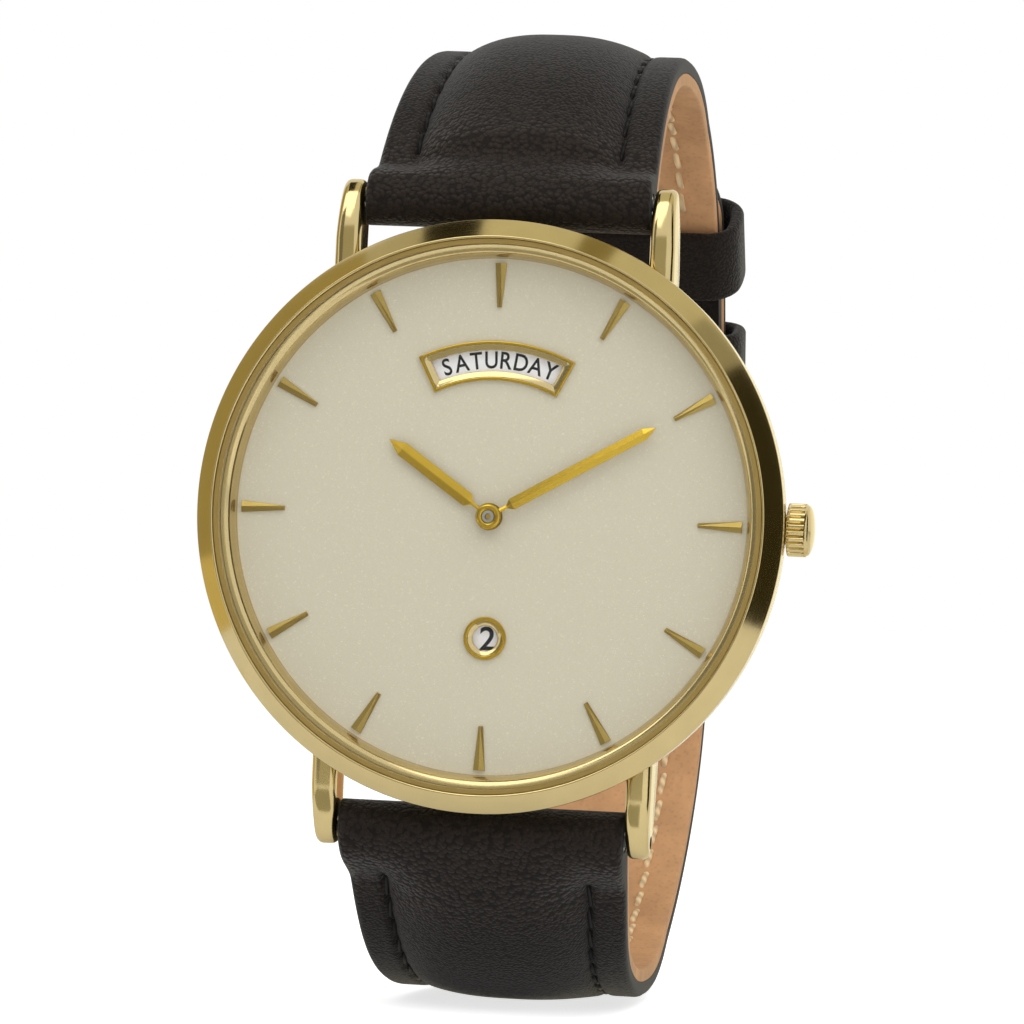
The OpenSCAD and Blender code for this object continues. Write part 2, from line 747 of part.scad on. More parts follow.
module calendar_plate() {
    color(steel) head() difference() {
        ring(hour_tube_r + 0.2, date_disc_r1 + date_tooth_h, guard_z, guard_z + guard_t);
        for (p = guard_posts)
            disc(p, screw_r + seat, guard_z - 1, guard_z + 1);
    }
}

// Plates and electrics of the movement

module main_plate() {
    pocket_h = 0.95;
    color(brass) head() {
        difference() {
            union() {
                disc([0, 0], move_r, plate_z, plate_top);
                for (p = guard_posts)
                    disc(p, post_out_r, plate_z, guard_z - seat);
            }
            disc([0, 0], hour_teeth * hour_module / 2 + 0.25, works_z, plate_top + 1);
            disc(minute_at, minute_teeth * motion_module / 2 + 0.3, works_z, plate_top + 1);
            disc([0, 0], arbor_r + run, 0, plate_top);
            disc(third_at, pivot_r + run, 0, plate_z + 0.35);
            disc(rotor_at, pivot_r + run, 0, plate_z + 0.35);
            disc(battery_at, battery_d / 2 + run, 0, bridge_z + 0.1 + battery_h + run);
            for (a = [feet_dir, feet_dir + 180])
                disc(foot_out * [cos(a), sin(a)], foot_r + seat, 0, plate_top + 1);
            for (p = bridge_posts)
                disc(p, screw_r + seat, 0, plate_z + 0.5);
            for (p = guard_posts)
                disc(p, screw_r + seat, plate_top - 0.5, plate_top + 1);
            translate([stem_square_x - 0.1, -clutch_r - 0.2, 0])
                cube([move_r, clutch_r + lever_y + 1.1, plate_z + pocket_h]);
            along_x(stem_square_x - stem_pivot_len - 0.1, 0, stem_z)
                cylinder(r = stem_pivot_r + run, h = stem_pivot_len + 0.1);
        }
        disc([lever_x, lever_y], lever_post_r, stem_z + stem_r + 0.05, plate_z + pocket_h);
        disc(minute_at, post_r, works_z, works_z + 0.67);
    }
}

module train_bridge() {
    outline = [[-8, 2.2], [-6.2, 6.2], [-3.2, 6.4], [4.6, 3.6], [4.4, 1.8], [-0.2, -5.2],
        [-2.1, -5.2], [-4.2, -1]];
    color(brass) head() difference() {
        union() {
            translate([0, 0, bridge_z]) linear_extrude(bridge_t) polygon(outline);
            for (p = bridge_posts)
                disc(p, post_out_r, bridge_z, plate_z - seat);
        }
        disc([0, 0], arbor_r + run, 0, bridge_z + 1);
        disc(third_at, pivot_r + run, 0, bridge_z + 1);
        disc(rotor_at, pivot_r + run, 0, bridge_z + 1);
        for (p = bridge_posts) {
            disc(p, screw_r + seat, 0, plate_z + 1);
            disc(p, screw_head_r + seat, 0, bridge_z + screw_head_t);
        }
    }
}

module movement_screws() {
    color(steel) head() {
        for (p = bridge_posts) {
            disc(p, screw_head_r, bridge_z, bridge_z + screw_head_t);
            disc(p, screw_r, bridge_z, plate_z + 0.45);
        }
        for (p = guard_posts) {
            disc(p, screw_head_r, guard_z + guard_t, guard_z + guard_t + screw_head_t - 0.03);
            disc(p, screw_r, plate_top - 0.45, guard_z + guard_t + 0.02);
        }
    }
}

// Plastic ring that centres the movement in the case
module movement_holder() {
    holder_play = 0.1;
    color("#e6e2d8") head() difference() {
        ring(move_r + holder_play, cavity_r - seat, back_t + seat, dial_z - seat);
        along_x(move_r - 1, 0, stem_z) cylinder(r = tube_r + 0.1, h = cavity_r);
    }
}

module battery() {
    step = 0.3;
    z = bridge_z + 0.1;
    color(steel) head() {
        disc(battery_at, battery_d / 2, z + step, z + battery_h);
        disc(battery_at, battery_d / 2 - 0.5, z, z + step);
    }
}

module battery_clip() {
    outline = [[-6.4, -6.8], [-5.2, -5.2], [0.3, -8], [-0.3, -9.3]];
    color(steel) head() {
        translate([0, 0, bridge_z - seat]) linear_extrude(0.1) polygon(outline);
        disc(clip_post, 0.45, bridge_z - seat, plate_z - seat);
    }
}

module circuit_board() {
    board_t = 0.25;
    color("#2f6b3f") head() rotate([0, 0, -132])
        sector(5.4, move_r - 0.6, 29, plate_z - board_t - 0.05, plate_z - 0.05);
}

module quartz_resonator() {
    can_r = 0.55;
    color(steel) head() rotate([0, 0, -60]) translate([8.6, -2.5, plate_z - 0.3 - can_r - seat])
        rotate([-90, 0, 0]) cylinder(r = can_r, h = 5);
}

module coil() {
    core_half = 0.4;
    color("#9c5a2e") head() difference() {
        translate([coil_x1, coil_y - 0.9, stator_z + 0.05]) cube([coil_x2 - coil_x1, 1.8, 1.1]);
        translate([coil_x1 - 1, coil_y - core_half - seat, stator_z + stator_t - seat])
            cube([coil_x2 - coil_x1 + 2, 2 * (core_half + seat), 0.35 + 2 * seat]);
    }
}

module coil_core() {
    color(steel) head() translate([coil_x1 - 1.4, coil_y - 0.4, stator_z + stator_t])
        cube([coil_x2 - coil_x1 + 2.8, 0.8, 0.35]);
}

module stator() {
    arm = 1.2;
    top = coil_y + 0.5;
    low = rotor_at[1] - 0.75;
    x1 = coil_x1 - 0.3 - arm;
    x2 = coil_x2 + 0.3;
    color(steel) head() difference() {
        translate([0, 0, stator_z]) linear_extrude(stator_t) {
            translate([x1, low]) square([arm, top - low]);
            translate([x2, low]) square([arm, top - low]);
            translate([x1, low]) square([x2 + arm - x1, 1.5]);
            translate(rotor_at) circle(1.5);
        }
        disc(rotor_at, magnet_r + 0.2, stator_z - 1, stator_z + 1);
    }
}

// Spring bars

bar_half = strap_w / 2 - 0.1;
bar_bore_r = bar_pin_r + run;
pin_in = 3;
lug_grip = lug_w * 0.75;
buckle_grip = arm_w * 0.7;

module bar_tube(half) {
    difference() {
        along_x(-half, 0, 0) cylinder(r = bar_r, h = 2 * half);
        along_x(-half - 1, 0, 0) cylinder(r = bar_bore_r, h = 2 * half + 2);
    }
}

// Pin at one end of a bar, which can be pushed in by its grip until it leaves its hole
module bar_pin(side, half, reach) {
    mirror([side < 0 ? 1 : 0, 0, 0]) along_x(half - pin_in, 0, 0)
        cylinder(r = bar_pin_r, h = pin_in + reach);
}

// Spring between the pins, as short as they can press it
module bar_spring(half, travel) {
    length = 2 * (half - pin_in - travel - 0.1);
    along_x(-length / 2, 0, 0) cylinder(r = bar_pin_r, h = length);
}

module at_lugs(sy) {
    head() translate([0, sy * bar_y, bar_z]) children();
}

module spring_bar_tubes() {
    color(steel) for (sy = [-1, 1])
        at_lugs(sy) bar_tube(bar_half);
}

module spring_bar_springs() {
    color(steel) for (sy = [-1, 1])
        at_lugs(sy) bar_spring(bar_half, lug_play + lug_grip);
}

module lug_pin(side, sy) {
    color(steel) at_lugs(sy) bar_pin(side, bar_half, lug_in - bar_half + lug_grip);
}

module upper_bar_pin_left() {
    lug_pin(-1, 1);
}

module upper_bar_pin_right() {
    lug_pin(1, 1);
}

module lower_bar_pin_left() {
    lug_pin(-1, -1);
}

module lower_bar_pin_right() {
    lug_pin(1, -1);
}

// Strap

strap_bore_r = bar_r + run;
fold_from = upper_len - fold_len;
tail_lift = 2 * strap_t + lay;
tail_lay = strap_t + lay;
slot_from = 0.5;
slot_to = 6.2;
start_roll = [for (a = [80:-20:0]) -strap_t * sin(a)];
start_steps = concat(start_roll, [1, strap_t, strap_t + 0.05, 3.2, 4.5, 6, 8]);
upper_steps = concat(start_steps, [for (s = [11:3:upper_len - 6]) s],
    [for (s = [-4:1:0]) upper_len + s], [for (a = [20:20:80]) upper_len + strap_t * sin(a)]);

// Height of the strap's folds over its flat outer face, at the lug and at the buckle
function roll_top(s) =
    s < 0 ? roll_edge(s) : strap_t * (1 - ease(s, 0.8, 4.5));
function fold_top(s) =
    s > upper_len ? roll_edge(s - upper_len) : strap_t * ease(s, upper_len - 3.5, upper_len - 0.6);
function upper_low(s) =
    s < 0 ? -roll_edge(s) : s > upper_len ? -roll_edge(s - upper_len)
    : s <= strap_t || s > fold_from ? -strap_t : -leather_t;

function upper_high(s) = s < upper_len / 2 ? roll_top(s) : fold_top(s);

module upper_strap_leather() {
    rings = [for (s = upper_steps)
        let (pad = pad_at(s, upper_pad_end), hollow = s > strap_t && s < fold_from ? pad : 0)
        placed(s, layer(half_width(s), upper_low(s), hollow, upper_high(s), pad), 1)];
    notch = tongue_w + 2 * tongue_play;
    color(black_leather) difference() {
        skin(rings);
        on_strap(0) along_x(-strap_w, 0, 0) cylinder(r = strap_bore_r, h = 2 * strap_w);
        on_strap(upper_len) {
            along_x(-strap_w, 0, 0) cylinder(r = strap_bore_r, h = 2 * strap_w);
            translate([-notch / 2, -eye_r - tongue_play, -2 * strap_t])
                cube([notch, 4 * strap_t, 4 * strap_t]);
        }
    }
}

// Padding is drawn only where it is thick enough to be cut, just clear of the leather over it
pad_slack = 0.1;
function padded_steps(steps, pad_end) = [for (s = steps) if (s > 3 && pad_at(s, pad_end) > 0.15) s];

module upper_strap_padding() {
    color("#8a8378") skin([for (s = padded_steps(upper_steps, upper_pad_end))
        placed(s, filling(half_width(s), -leather_t, pad_at(s, upper_pad_end) - pad_slack), 1)]);
}

module upper_strap_lining() {
    steps = concat([strap_t + 0.1], [for (s = upper_steps) if (s > strap_t + 0.1 && s < fold_from) s]);
    color(tan_leather) skin([for (s = steps)
        placed(s, band(half_width(s), -strap_t, -leather_t - seat / 4), 1)]);
}

// The lower strap climbs over the upper one's fold at the buckle and then lies on it
tail_tip = lower_len + tail_len;
lower_steps = concat(start_steps, [for (s = [12:5:lower_len - 12]) s],
    [for (s = [-9:1.5:7.5]) lower_len + s], [for (s = [lower_len + 10:3:tail_tip - tip_len - 1]) s],
    [for (u = [0, 0.3, 0.55, 0.75, 0.88, 0.95, 0.985]) tail_tip - tip_len * (1 - u)]);

climb_len = 7.5;
crest_half = 0.6;
settle_len = fixed_keeper_out - keeper_w / 2 - 0.3;
function lift(s) =
    tail_lift * ease(s, lower_len - climb_len, lower_len - crest_half)
    - (tail_lift - tail_lay) * ease(s, lower_len + crest_half, lower_len + settle_len);
function tail_width(s) =
    let (u = max(0, (s - tail_tip + tip_len) / tip_len)) half_width(s) * pow(1 - u * u, 0.6);
function lower_low(s) = s < 0 ? -roll_edge(s) : s <= strap_t ? -strap_t : -leather_t;

module buckle_holes() {
    slot_mid = (slot_to - slot_from) / 2;
    for (i = [-3:3])
        if (i != 0)
            on_strap(upper_len + slot_mid + i * hole_step)
                translate([0, 0, -4 * strap_t]) cylinder(r = hole_r, h = 8 * strap_t);
    slot_w = tongue_w + 2 * tongue_play;
    on_strap(upper_len)
        translate([-slot_w / 2, -slot_from, -4 * strap_t]) cube([slot_w, slot_from + slot_to, 8 * strap_t]);
}

module lower_strap_leather() {
    rings = [for (s = lower_steps)
        let (pad = pad_at(s, lower_pad_end), hollow = s > strap_t ? pad : 0, up = lift(s))
        placed(s, layer(tail_width(s), lower_low(s) + up, hollow, roll_top(s) + up, pad), -1)];
    color(black_leather) difference() {
        skin(rings, true);
        mirror([0, 0, 1]) on_strap(0) along_x(-strap_w, 0, 0) cylinder(r = strap_bore_r, h = 2 * strap_w);
        buckle_holes();
    }
}

module lower_strap_padding() {
    color("#8a8378") skin([for (s = padded_steps(lower_steps, lower_pad_end))
        placed(s, filling(half_width(s), -leather_t, pad_at(s, lower_pad_end) - pad_slack), -1)], true);
}

module lower_strap_lining() {
    steps = concat([strap_t + 0.1], [for (s = lower_steps) if (s > strap_t + 0.1) s]);
    color(tan_leather) difference() {
        skin([for (s = steps)
            placed(s, band(tail_width(s), lift(s) - strap_t, lift(s) - leather_t - seat / 4), -1)], true);
        buckle_holes();
    }
}

// Keepers

module rounded_box(w, low, high, r) {
    translate([-w + r, low]) square([2 * (w - r), high - low]);
    translate([-w, low + r]) square([2 * w, high - low - 2 * r]);
    for (x = [-w + r, w - r], y = [low + r, high - r])
        translate([x, y]) circle(r);
}

module keeper(s) {
    w = strap_end_w / 2 + keeper_play;
    low = -strap_t - keeper_play;
    high = tail_lay + keeper_play;
    color(black_leather) on_strap(s) translate([0, keeper_w / 2, 0]) rotate([90, 0, 0])
        linear_extrude(keeper_w) difference() {
            rounded_box(w + keeper_t, low - keeper_t, high + keeper_t, keeper_t + 0.4);
            rounded_box(w, low, high, 0.4);
        }
}

module fixed_keeper() {
    keeper(upper_len - fixed_keeper_out);
}

module free_keeper() {
    keeper(upper_len - free_keeper_out);
}

// Buckle

buckle_gap = 0.15;
buckle_half = strap_end_w / 2 + 0.35;
buckle_bar_half = buckle_half - buckle_gap;

module buckle_bar() {
    color(gold) on_strap(upper_len) bar_tube(buckle_bar_half);
}

module buckle_bar_spring() {
    color(steel) on_strap(upper_len) bar_spring(buckle_bar_half, buckle_gap + buckle_grip);
}

module buckle_bar_pin_left() {
    color(steel) on_strap(upper_len) bar_pin(-1, buckle_bar_half, buckle_gap + buckle_grip);
}

module buckle_bar_pin_right() {
    color(steel) on_strap(upper_len) bar_pin(1, buckle_bar_half, buckle_gap + buckle_grip);
}

// Two arms joined by a round crossbar
module buckle_frame() {
    arm = [[0, -arm_r], [buckle_len, crossbar_rise - crossbar_r],
        [buckle_len, crossbar_rise + crossbar_r], [0, arm_r]];
    half = buckle_half + arm_w;
    color(gold) on_strap(upper_len) difference() {
        union() {
            for (x = [-half, buckle_half])
                translate([x, 0, 0]) rotate([90, 0, 90]) linear_extrude(arm_w) {
                    polygon(arm);
                    circle(arm_r);
                    translate([buckle_len, crossbar_rise]) circle(crossbar_r);
                }
            along_x(-half, buckle_len, crossbar_rise) cylinder(r = crossbar_r, h = 2 * half);
        }
        along_x(-half - 1, 0, 0) cylinder(r = bar_hole_r, h = 2 * half + 2);
    }
}

// Eye round the bar and an arm that rests on the crossbar
module buckle_tongue() {
    rest = crossbar_rise + crossbar_r + run;
    tip = buckle_len + 1.4;
    outline = [[0, eye_r - tongue_t], [buckle_len - 0.6, rest], [buckle_len + 0.8, rest],
        [tip, rest - 0.1], [tip + 0.1, rest + 0.15], [tip - 0.3, rest + tongue_t * 0.75],
        [buckle_len - 0.6, rest + tongue_t], [0, eye_r]];
    color(gold) on_strap(upper_len) difference() {
        translate([-tongue_w / 2, 0, 0]) rotate([90, 0, 90]) linear_extrude(tongue_w) {
            circle(eye_r);
            polygon(outline);
        }
        along_x(-tongue_w, 0, 0) cylinder(r = bar_r + run, h = 2 * tongue_w);
    }
}

case_middle();
bezel();
crystal();
crystal_gasket();
dial_ring();
case_back();
case_back_gasket();
crown_tube();
crown();
crown_gasket();
stem();
clutch_wheel();
setting_lever();
dial();
hour_markers();
day_window_frame();
date_window_frame();
hour_hand();
minute_hand();
hour_wheel();
cannon_pinion();
centre_wheel();
minute_wheel();
third_wheel();
rotor();
day_disc();
date_disc();
calendar_plate();
main_plate();
train_bridge();
movement_screws();
movement_holder();
battery();
battery_clip();
circuit_board();
quartz_resonator();
coil();
coil_core();
stator();
spring_bar_tubes();
spring_bar_springs();
upper_bar_pin_left();
upper_bar_pin_right();
lower_bar_pin_left();
lower_bar_pin_right();
upper_strap_leather();
upper_strap_padding();
upper_strap_lining();
lower_strap_leather();
lower_strap_padding();
lower_strap_lining();
fixed_keeper();
free_keeper();
buckle_bar();
buckle_bar_spring();
buckle_bar_pin_left();
buckle_bar_pin_right();
buckle_frame();
buckle_tongue();
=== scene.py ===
"""Visible pieces, finishes and stage of a slim wristwatch, built around its CAD frame."""

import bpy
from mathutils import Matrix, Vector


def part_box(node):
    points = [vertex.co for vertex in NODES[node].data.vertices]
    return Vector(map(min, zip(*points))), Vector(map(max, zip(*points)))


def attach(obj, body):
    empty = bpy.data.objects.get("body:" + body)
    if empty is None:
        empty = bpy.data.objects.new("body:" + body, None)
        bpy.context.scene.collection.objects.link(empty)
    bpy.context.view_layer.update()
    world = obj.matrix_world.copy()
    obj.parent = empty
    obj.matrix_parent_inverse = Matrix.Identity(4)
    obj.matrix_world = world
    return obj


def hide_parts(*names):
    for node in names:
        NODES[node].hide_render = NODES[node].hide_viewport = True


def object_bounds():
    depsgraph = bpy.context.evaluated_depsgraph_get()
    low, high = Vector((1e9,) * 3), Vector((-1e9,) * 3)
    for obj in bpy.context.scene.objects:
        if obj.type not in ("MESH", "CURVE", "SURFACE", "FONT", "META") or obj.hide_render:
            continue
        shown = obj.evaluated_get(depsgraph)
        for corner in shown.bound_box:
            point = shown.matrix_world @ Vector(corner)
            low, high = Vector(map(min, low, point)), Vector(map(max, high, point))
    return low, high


bl_info = {
    "name": "Slim Day and Date Wristwatch",
    "version": (1, 0, 0),
    "blender": (4, 5, 0),
    "location": "View3D > Sidebar > Watch",
    "description": "Builds a slim gold wristwatch on a padded leather strap around its CAD frame",
    "category": "Add Mesh",
}

import math
from bisect import bisect_right
from types import SimpleNamespace

import bmesh
import bpy
from bpy.props import FloatProperty, FloatVectorProperty, IntProperty, PointerProperty
from mathutils import Matrix, Vector

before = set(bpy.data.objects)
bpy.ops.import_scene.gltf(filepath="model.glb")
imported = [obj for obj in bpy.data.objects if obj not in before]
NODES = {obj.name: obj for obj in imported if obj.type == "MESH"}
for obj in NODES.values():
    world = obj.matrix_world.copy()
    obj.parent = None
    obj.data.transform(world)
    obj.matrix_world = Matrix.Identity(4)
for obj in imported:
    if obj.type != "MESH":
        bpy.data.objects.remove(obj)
CAD_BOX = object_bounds()

# Every shape below is drawn in millimetres and scaled to metres when its piece is finished.
MM = 0.001


def srgb(code):
    """Linear colour of an sRGB hex code."""
    parts = [int(code[i:i + 2], 16) / 255 for i in (0, 2, 4)]
    return tuple(c / 12.92 if c <= 0.04045 else ((c + 0.055) / 1.055) ** 2.4 for c in parts)


def node_box(node):
    """Lowest and highest corner of a CAD node, in millimetres."""
    low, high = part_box(node)
    return low / MM, high / MM


# The head is drawn dial up, twelve o'clock along +Y, with heights counted from the case back's face.
BACK_Y = node_box("case_back")[1].y
HEAD = Matrix(((1, 0, 0, 0), (0, 0, -1, BACK_Y), (0, 1, 0, 0), (0, 0, 0, 1)))


def heights(node):
    """Lowest and highest level of a CAD node over the case back's face."""
    low, high = node_box(node)
    return BACK_Y - high.y, BACK_Y - low.y


def length(name, description, millimetres):
    """A length a user may change."""
    return FloatProperty(name=name, description=description, default=millimetres * MM, min=0, unit="LENGTH")


def colour(name, description, code):
    """A colour a user may change."""
    return FloatVectorProperty(name=name, description=description, default=srgb(code), min=0, max=1,
                               subtype="COLOR")


class WatchStrapSizes(bpy.types.PropertyGroup):
    """Sizes of the strap and its stitching."""

    wrist_height: length("Wrist Height", "Height of the opening in the closed strap", 63)
    wrist_depth: length("Wrist Depth", "Depth of the opening in the closed strap", 50)
    width: length("Width", "Width of the strap between the lugs", 19.5)
    end_width: length("End Width", "Width of the strap at the buckle", 16)
    taper: length("Taper", "Distance over which the strap narrows", 44)
    leather: length("Leather", "Thickness of the outer leather", 1.1)
    lining: length("Lining", "Thickness of the lining", 0.9)
    padding: length("Padding", "Height of the padding beside the lugs", 2.2)
    margin: length("Margin", "Width of the flat margin outside the stitching", 2.3)
    edge: length("Edge", "Rounding of the strap's painted edges", 0.5)
    pitch: length("Stitch Pitch", "Distance from stitch to stitch", 2.45)
    thread: length("Thread", "Thickness of the sewing thread", 0.34)
    keeper_width: length("Keeper Width", "Width of a keeper along the strap", 5.6)
    keeper_leather: length("Keeper Leather", "Thickness of a keeper's leather", 1.0)


class WatchHeadSizes(bpy.types.PropertyGroup):
    """Sizes of the case, crown, dial and calendar printing."""

    edge: length("Edge", "Rounding of the case's polished edges", 0.07)
    lug_width: length("Lug Width", "Width of a lug", 1.55)
    lug_rounding: length("Lug Rounding", "Rounding of a lug's long edges", 0.55)
    day_letter: length("Day Letter", "Height of the day names' capitals", 1.16)
    date_figure: length("Date Figure", "Height of the date's figures", 1.6)
    flutes: IntProperty(name="Flutes", description="Number of flutes round the crown", default=24, min=8)


class WatchColours(bpy.types.PropertyGroup):
    """Colours of the watch's materials."""

    case_gold: colour("Case Gold", "Gold plating of the case and buckle", "cfbb86")
    trim_gold: colour("Trim Gold", "Gold plating of the hands and frames", "c6a535")
    marker_gold: colour("Marker Gold", "Darker gold plating of the hour markers", "a8914c")
    steel: colour("Steel", "Bare steel of the case back and works", "b9bbbe")
    brass: colour("Brass", "Turned brass of the works", "c2a35a")
    dial: colour("Dial", "Cream lacquer of the dial", "d6cfb8")
    calendar: colour("Calendar", "White enamel of the calendar discs", "fdfdff")
    ink: colour("Ink", "Printing ink of the calendar", "0c0c0e")
    leather: colour("Leather", "Black grained leather", "1b140f")
    lining: colour("Lining", "Tan lining leather", "cf9e70")
    dark_thread: colour("Dark Thread", "Waxed thread on the outer leather", "0e0c0b")
    pale_thread: colour("Pale Thread", "Waxed thread on the lining", "f0d3a4")


def in_mm(group):
    """A group's lengths in millimetres and its counts as they are."""
    values = {}
    for name in group.__annotations__:
        value = getattr(group, name)
        values[name] = value / MM if isinstance(value, float) else value
    return SimpleNamespace(**values)


# Materials


def add(tree, kind, inputs=None, **settings):
    """Adds a shader node: settings are its own, inputs are values or the sockets that feed it."""
    node = tree.nodes.new("ShaderNode" + kind)
    for name, value in settings.items():
        setattr(node, name, value)
    for name, value in (inputs or {}).items():
        if isinstance(value, bpy.types.NodeSocket):
            tree.links.new(value, node.inputs[name])
        else:
            node.inputs[name].default_value = value
    return node


def start_material(name, **sockets):
    """A new material's tree, its shader and its Object coordinates, with constant sockets set."""
    material = bpy.data.materials.new(name)
    material.use_nodes = True
    tree = material.node_tree
    shader = tree.nodes["Principled BSDF"]
    for socket, value in sockets.items():
        shader.inputs[socket.replace("_", " ")].default_value = value
    return material, tree, shader, add(tree, "TexCoord").outputs["Object"]


def per_mm(size):
    """Texture scale at which one cell of a pattern is that many millimetres."""
    return 1000 / size


def rgba(colour_value, factor=1.0):
    """A colour made darker or paler, as a socket takes it."""
    return (*[min(1, c * factor) for c in colour_value], 1)


def off_axis(tree, place):
    """Distance from the dial's axis, and place along it."""
    apart = add(tree, "SeparateXYZ", {"Vector": place}).outputs
    flat = add(tree, "CombineXYZ", {"X": apart["X"], "Y": apart["Z"]}).outputs[0]
    return add(tree, "VectorMath", {0: flat}, operation="LENGTH").outputs["Value"], apart["Y"]


def led(tree, shader, tint, tone, gloss, bump):
    """Lets patterns lead a shader's colour, gloss and relief.

    tone is a pattern, the darkest and palest share of the tint and where on the pattern they lie; gloss is a
    pattern and the roughness at its two ends; bump is a pattern, its strength and its depth in millimetres.
    """
    pattern, dark, pale, *reach = tone
    ramp = add(tree, "ValToRGB", {"Fac": pattern})
    first, last = ramp.color_ramp.elements
    first.position, last.position = reach or (0, 1)
    first.color, last.color = rgba(tint, dark), rgba(tint, pale)
    pattern, low, high = gloss
    rough = add(tree, "MapRange", {"Value": pattern, "To Min": low, "To Max": high})
    pattern, strength, depth = bump
    relief = add(tree, "Bump", {"Height": pattern, "Strength": strength, "Distance": depth * MM})
    tree.links.new(ramp.outputs["Color"], shader.inputs["Base Color"])
    tree.links.new(rough.outputs["Result"], shader.inputs["Roughness"])
    tree.links.new(relief.outputs["Normal"], shader.inputs["Normal"])
    return ramp.color_ramp.elements


def polished_plating(name, tint, roughness):
    """Gold plating polished on a wheel: a clear mirror, with hairlines and faint clouding in the gloss."""
    material, tree, shader, place = start_material(name, Metallic=1.0)
    cloud = add(tree, "TexNoise", {"Vector": place, "Scale": per_mm(2.5), "Detail": 4.0}).outputs["Fac"]
    # Hairlines run round the dial's axis; real ones are finer than the render can show
    radius, along = off_axis(tree, place)
    line = add(tree, "CombineXYZ", {"X": radius, "Y": along}).outputs[0]
    hair = add(tree, "TexNoise", {"Vector": line, "Scale": per_mm(0.09), "Detail": 2.0}).outputs["Fac"]
    led(tree, shader, tint, tone=(cloud, 0.95, 1.03, 0.3, 0.7), gloss=(hair, roughness * 0.7, roughness * 1.3),
        bump=(hair, 0.1, 0.004))
    return material


def turned_metal(name, tint, roughness, grain):
    """Metal turned or rolled and left bare: fine tool lines and a soft, slightly uneven gloss."""
    material, tree, shader, place = start_material(name, Metallic=1.0)
    radius, _ = off_axis(tree, place)
    rings = add(tree, "TexNoise", {"Vector": radius, "Scale": per_mm(grain), "Detail": 3.0}).outputs["Fac"]
    patch = add(tree, "TexNoise", {"Vector": place, "Scale": per_mm(1.6), "Detail": 3.0}).outputs["Fac"]
    led(tree, shader, tint, tone=(patch, 0.86, 1.05, 0.3, 0.75), gloss=(rings, roughness * 0.7, roughness * 1.4),
        bump=(rings, 0.35, 0.01))
    return material


def mineral_crystal():
    """Flat mineral glass, ground and polished: almost unseen face on, with a reflection that grows at the rim."""
    material, tree, shader, place = start_material("mineral_glass_polished", Base_Color=(1, 1, 1, 1),
                                                   Roughness=0.02, IOR=1.5)
    weight = add(tree, "LayerWeight", {"Blend": 0.25}).outputs["Fresnel"]
    smear = add(tree, "TexNoise", {"Vector": place, "Scale": per_mm(9), "Detail": 2.0}).outputs["Fac"]
    film = add(tree, "MapRange", {"Value": smear, "To Min": 0.03, "To Max": 0.05}).outputs["Result"]
    body = add(tree, "Math", {0: weight, 1: film, 2: 0.008}, operation="MULTIPLY_ADD").outputs[0]
    tree.links.new(body, shader.inputs["Alpha"])
    material.surface_render_method = "BLENDED"
    return material


def lacquered_dial(tint):
    """Cream lacquer over a fine metallic base: an even silky face with tiny painted sparkles in it."""
    material, tree, shader, place = start_material("dial_lacquer_sprayed", Metallic=0.1)
    # Real flakes are some 0.03 mm across, too fine to show
    flake = add(tree, "TexVoronoi", {"Vector": place, "Scale": per_mm(0.085)}, feature="F1").outputs["Color"]
    spark = add(tree, "SeparateColor", {"Color": flake}).outputs
    steps = led(tree, shader, tint, tone=(spark["Red"], 0.97, 1.14), gloss=(spark["Green"], 0.3, 0.5),
                bump=(spark["Blue"], 0.08, 0.01))
    # The palest few cells are painted brighter, a painted sparkle of the flakes; the small spread below is the
    # lacquer's own tone
    steps.new(0.93).color = rgba(tint, 1.01)
    return material


def even_coat(name, tint, roughness, grain, depth, spread=0.06):
    """A moulded, printed or sprayed surface: nearly one colour, with a fine tooth and slight clouding."""
    material, tree, shader, place = start_material(name)
    tooth = add(tree, "TexNoise", {"Vector": place, "Scale": per_mm(grain), "Detail": 3.0}).outputs["Fac"]
    cloud = add(tree, "TexNoise", {"Vector": place, "Scale": per_mm(grain * 9), "Detail": 2.0}).outputs["Fac"]
    led(tree, shader, tint, tone=(cloud, 1 - spread, 1 + spread, 0.25, 0.75),
        gloss=(tooth, roughness * 0.85, roughness * 1.15), bump=(tooth, 0.5, depth))
    return material


